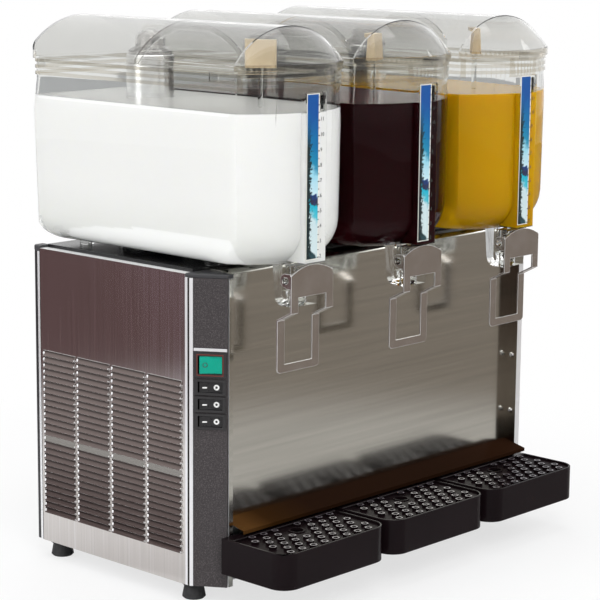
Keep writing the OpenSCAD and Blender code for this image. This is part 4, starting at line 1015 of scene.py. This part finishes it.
def shape_bowl(bm, centre):
    """Rounds the upright creases and the lower front edge of a bowl and lets its walls lean out."""
    creases = [edge for edge in bm.edges if is_crease(edge)]
    bmesh.ops.bevel(
        bm, geom=creases, offset=0.005, segments=5, profile=0.5, affect="EDGES", clamp_overlap=True)
    heights = (2, 4, 7, 10, 14, 18, 23, 29, 36, 46, 80, 120, 160, 195)
    cuts = [(spot(0, 0, BOWL_FLOOR + h), (0, 0, 1)) for h in heights]
    cuts += [(spot(centre + x, 0, 0), (1, 0, 0)) for x in (-72, -60, -48, -36, -26, 26, 36, 48, 60, 72)]
    for point, normal in cuts:
        everything = bm.verts[:] + bm.edges[:] + bm.faces[:]
        bmesh.ops.bisect_plane(bm, geom=everything, plane_co=point, plane_no=normal)
    for corner in bm.verts:
        z = height_of(corner.co)
        x, y = bowl_point(corner.co.x / MM - centre, (corner.co.y - FRONT_Y) / MM, z)
        corner.co = spot(centre + x, y, z)


def dark_rims(piece, bands):
    """Gives the bands of a moulded rim a darker, warm clear finish: painted shade for the dark lines that the
    thick rim shows.
    """
    def in_band(face):
        return int(any(low < height_of(face.center) < high for low, high in bands))

    paint_faces(piece, ("rim_clear",), in_band)


class DISPENSER_OT_bowls(bpy.types.Operator):
    """Finishes the clear bowls, lids and spray bells, and the pieces that show through them"""

    bl_idname = "dispenser.bowls"
    bl_label = "Bowls and Lids"

    def execute(self, context):
        for k in BOWLS:
            x = middle_x(f"bowl_{k}")
            bowl = dressed(f"bowl_{k}", "bowl_clear", angle=28, shape=lambda bm: shape_bowl(bm, x))
            dark_rims(bowl, BOWL_BANDS)
            dark_rims(dressed(f"lid_{k}", "lid_clear", angle=28, even=True), LID_BANDS)
            knob = dressed(f"selector_{k}", "knob_beige", 0.001, 3)
            paint_faces(knob, ("bowl_clear",), lambda face: int(height_of(face.center) < KNOB_FOOT))
            dressed(f"tap_piston_{k}", "bowl_clear")
            valve_spring(k)
            dressed(f"impeller_{k}", "white_plastic")
        dressed("spray_bells", "bell_clear")
        dressed("evaporators", "cooler_steel")
        dressed("bowl_seals", "rubber")
        return {"FINISHED"}


def drink_rings(k, depth, level):
    """Rings of a drink from the bowl floor up to its level, in millimetres of the drawing frame."""
    wall = BOWL_WALL - depth
    half, front, rear, low = BOWL_HALF - wall, BOWL_FRONT + wall, BOWL_REAR - wall, BOWL_FLOOR + wall
    bow, corner, centre = BOW_RADIUS - wall, BOWL_CORNER - wall, middle_x(f"bowl_{k}")

    def reach(direction, hx, yf, yr):
        """Distance from the middle to the wall along a direction, by halving."""
        def inside(d):
            x, y = d * direction[0], BOWL_MIDDLE + d * direction[1]
            if abs(x) > hx or y < yf or y > yr:
                return False
            if math.hypot(x, y - (front + bow)) > bow and y < front + bow:
                return False
            cx, cy = abs(x) - (half - corner), y - (rear - corner)
            return not (cx > 0 and cy > 0 and math.hypot(cx, cy) > corner)
        lo, hi = 0.0, 400.0
        for _ in range(40):
            mid = (lo + hi) / 2
            lo, hi = (mid, hi) if inside(mid) else (lo, mid)
        return lo

    rings = []
    for h in (0.0, 0.4, 1.2, 2.5, 4.5, 7, 10, 14, 18, 23, 29, 36, 43, level):
        hx = half - drawn_in(SIDE_ROUND - wall, h)
        yf = front + drawn_in(FRONT_ROUND - wall, h)
        yr = rear - drawn_in(BACK_ROUND - wall, h)
        ring = []
        for a in circle(160):
            d = (math.cos(a), math.sin(a))
            r = reach(d, hx, yf, yr)
            x, y = bowl_point(r * d[0], BOWL_MIDDLE + r * d[1], low + h)
            ring.append(spot(centre + x, y, low + h))
        rings.append(ring)
    return rings


def is_surface(face):
    """Whether a face is the open surface of a drink."""
    return int(face.normal.z > 0.9 and height_of(face.center) > DRINK_UPPER)


class DISPENSER_OT_drinks(bpy.types.Operator):
    """Fills the three bowls with their drinks"""

    bl_idname = "dispenser.drinks"
    bl_label = "Drinks"

    def execute(self, context):
        sizes = context.scene.dispenser_sizes
        depth, level = sizes.drink_depth / MM, sizes.drink_level / MM
        under, over = 370, 620
        for k, name in zip(BOWLS, ("milk", "cherry", "amber")):
            piece = rings_to_piece(f"drink_{k}", drink_rings(k, depth, level - BOWL_WALL + depth))
            x = middle_x(f"bowl_{k}")
            bm = bmesh.new()
            low = spot(x - NOSE_HALF - depth, NOSE_ROOM - depth, NOSE_FLOOR - depth)
            slab(bm, low, spot(x + NOSE_HALF + depth, -10, BOWL_FLOOR + level))
            boolean(piece, link_bmesh(bm, "nose_fill"), "UNION")
            for room, y, radius, top, count in (
                ("cooler_room", COOLER_Y, 28.9, over, 72), ("socket_room", KNOB_Y, 6.5, 392.5, 48),
                ("rod_room", KNOB_Y, 3.4, over, 24),
            ):
                boolean(piece, rod(room, x, y, radius, under, top, count), "DIFFERENCE")
            smooth(piece.data, 30)
            finish_piece(piece, f"bowl_{k}", name)
            # Its open surface takes the tone of painted light
            paint_faces(piece, (name + "_top",), is_surface)
        return {"FINISHED"}


def number_mesh(bm, text, size, place):
    """Adds a plain number, upright and facing the front, to a mesh."""
    curve = bpy.data.curves.new("number", "FONT")
    curve.body = text
    curve.size = size
    curve.align_x = "LEFT"
    curve.align_y = "CENTER"
    curve.extrude = 0.00006
    curve.resolution_u = 3
    writing = link("number", curve)
    mesh = evaluated_mesh(writing)
    mesh.transform(Matrix.Translation(place) @ Matrix.Rotation(math.pi / 2, 4, "X"))
    bm.from_mesh(mesh)
    bpy.data.meshes.remove(mesh)
    bpy.data.objects.remove(writing)
    bpy.data.curves.remove(curve)


class DISPENSER_OT_strips(bpy.types.Operator):
    """Adds the printed strip with its litre marks to the nose of each bowl"""

    bl_idname = "dispenser.strips"
    bl_label = "Printed Strips"

    def execute(self, context):
        sizes = context.scene.dispenser_sizes
        wide, step = sizes.picture_width / MM, sizes.litre_step
        ticks = repeat_tree("litre_ticks", "MeshCube", Size=(1.0, 1.0, 1.0))
        for k in BOWLS:
            x, body = middle_x(f"bowl_{k}"), f"bowl_{k}"
            left, right = x + PICTURE_LEFT, x + PICTURE_LEFT + wide
            for name, out, x0, x1, z0, z1 in (
                ("strip_film", 0.16, left - 1.1, right + 1.6, 387.5, 574.4),
                ("strip_picture", 0.3, left, right, 388.5, 573.4),
            ):
                bm = bmesh.new()
                low, high = spot(x0, NOSE_FACE - out, z0), spot(x1, NOSE_FACE, z1)
                slab(bm, low, high)
                flat = bm.loops.layers.uv.new("strip")
                for loop in (corner for face in bm.faces for corner in face.loops):
                    at = loop.vert.co - low
                    loop[flat].uv = (at.x / (high.x - low.x), at.z / (high.z - low.z))
                to_piece(bm, f"{name}_{k}", body, name)
            for name, z, size in (
                ("litre_ticks", SCALE_LOW, (0.0028, 0.0003, 0.0011)),
                ("half_litre_ticks", SCALE_LOW + step / MM / 2, (0.0018, 0.0003, 0.0008)),
            ):
                repeated(
                    f"{name}_{k}", ticks, body, "black_plastic", 35, columns=1, rows=len(LITRES),
                    column_step=(0.0, 0.0, 0.0), row_step=(0.0, 0.0, step),
                    place=spot(right + 1.0, NOSE_FACE - 0.24, z), size=size, finish=finish("mark_dark"))
            bm = bmesh.new()
            for row, litre in enumerate(LITRES):
                place = spot(right + 3.6, NOSE_FACE - 0.1, SCALE_LOW + row * step / MM + 1.0)
                number_mesh(bm, str(litre), 0.0062, place)
            to_piece(bm, f"litre_numbers_{k}", body, "mark_dark")
        return {"FINISHED"}


class DISPENSER_OT_taps(bpy.types.Operator):
    """Finishes the push levers"""

    bl_idname = "dispenser.taps"
    bl_label = "Taps"

    def execute(self, context):
        for k in BOWLS:
            # The eased edges of each lever get a painted highlight
            dressed(f"tap_lever_{k}", "lever_steel", 0.0006, edge="edge_bright")
        return {"FINISHED"}


class DISPENSER_OT_trays(bpy.types.Operator):
    """Finishes the drip trays and their grids"""

    bl_idname = "dispenser.trays"
    bl_label = "Drip Trays"

    def execute(self, context):
        for k in BOWLS:
            dressed(f"drip_tray_{k}", "tray_black", 0.001, 3)
            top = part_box(f"drip_grid_{k}")[1].z
            # The stud tops take a lighter finish, a painted highlight
            paint_faces(
                dressed(f"drip_grid_{k}", "grid_black"), ("stud_edge",),
                lambda face: int(face.normal.z > 0.9 and face.center.z > top - 0.5 * MM))
        return {"FINISHED"}


class DISPENSER_OT_machine(bpy.types.Operator):
    """Finishes the cooling machine inside the cabinet"""

    bl_idname = "dispenser.machine"
    bl_label = "Cooling Machine"

    def execute(self, context):
        for node in ("compressor", "condenser", "fan_shroud", "fan_motor"):
            dressed(node, "machine_black")
        dressed("fan_blades", "fin_metal")
        dressed("electrical_box", "white_plastic", 0.0008)
        dressed("refrigerant_pipes", "copper")
        dressed("pump_motors", "machine_black")
        dressed("power_gland", "rubber")
        return {"FINISHED"}


class DISPENSER_PT_panel(bpy.types.Panel):
    """Lists the steps that dress the dispenser"""

    bl_label = "Juice Dispenser"
    bl_idname = "DISPENSER_PT_panel"
    bl_space_type = "VIEW_3D"
    bl_region_type = "UI"
    bl_category = "Dispenser"

    def draw(self, context):
        for step in STEPS:
            self.layout.operator(step.bl_idname)


STEPS = (
    DISPENSER_OT_stage, DISPENSER_OT_cabinet, DISPENSER_OT_louvre_ends, DISPENSER_OT_switches,
    DISPENSER_OT_bowls, DISPENSER_OT_drinks, DISPENSER_OT_strips, DISPENSER_OT_taps, DISPENSER_OT_trays,
    DISPENSER_OT_machine,
)
CLASSES = (DispenserSizes, DispenserColours, *STEPS, DISPENSER_PT_panel)


def register():
    for cls in CLASSES:
        bpy.utils.register_class(cls)
    bpy.types.Scene.dispenser_sizes = PointerProperty(type=DispenserSizes)
    bpy.types.Scene.dispenser_colours = PointerProperty(type=DispenserColours)


def unregister():
    del bpy.types.Scene.dispenser_sizes
    del bpy.types.Scene.dispenser_colours
    for cls in reversed(CLASSES):
        bpy.utils.unregister_class(cls)


def main():
    register()
    bpy.ops.dispenser.stage()
    bpy.ops.dispenser.cabinet()
    bpy.ops.dispenser.louvre_ends()
    bpy.ops.dispenser.switches()
    bpy.ops.dispenser.bowls()
    bpy.ops.dispenser.drinks()
    bpy.ops.dispenser.strips()
    bpy.ops.dispenser.taps()
    bpy.ops.dispenser.trays()
    bpy.ops.dispenser.machine()


if __name__ == "__main__":
    main()
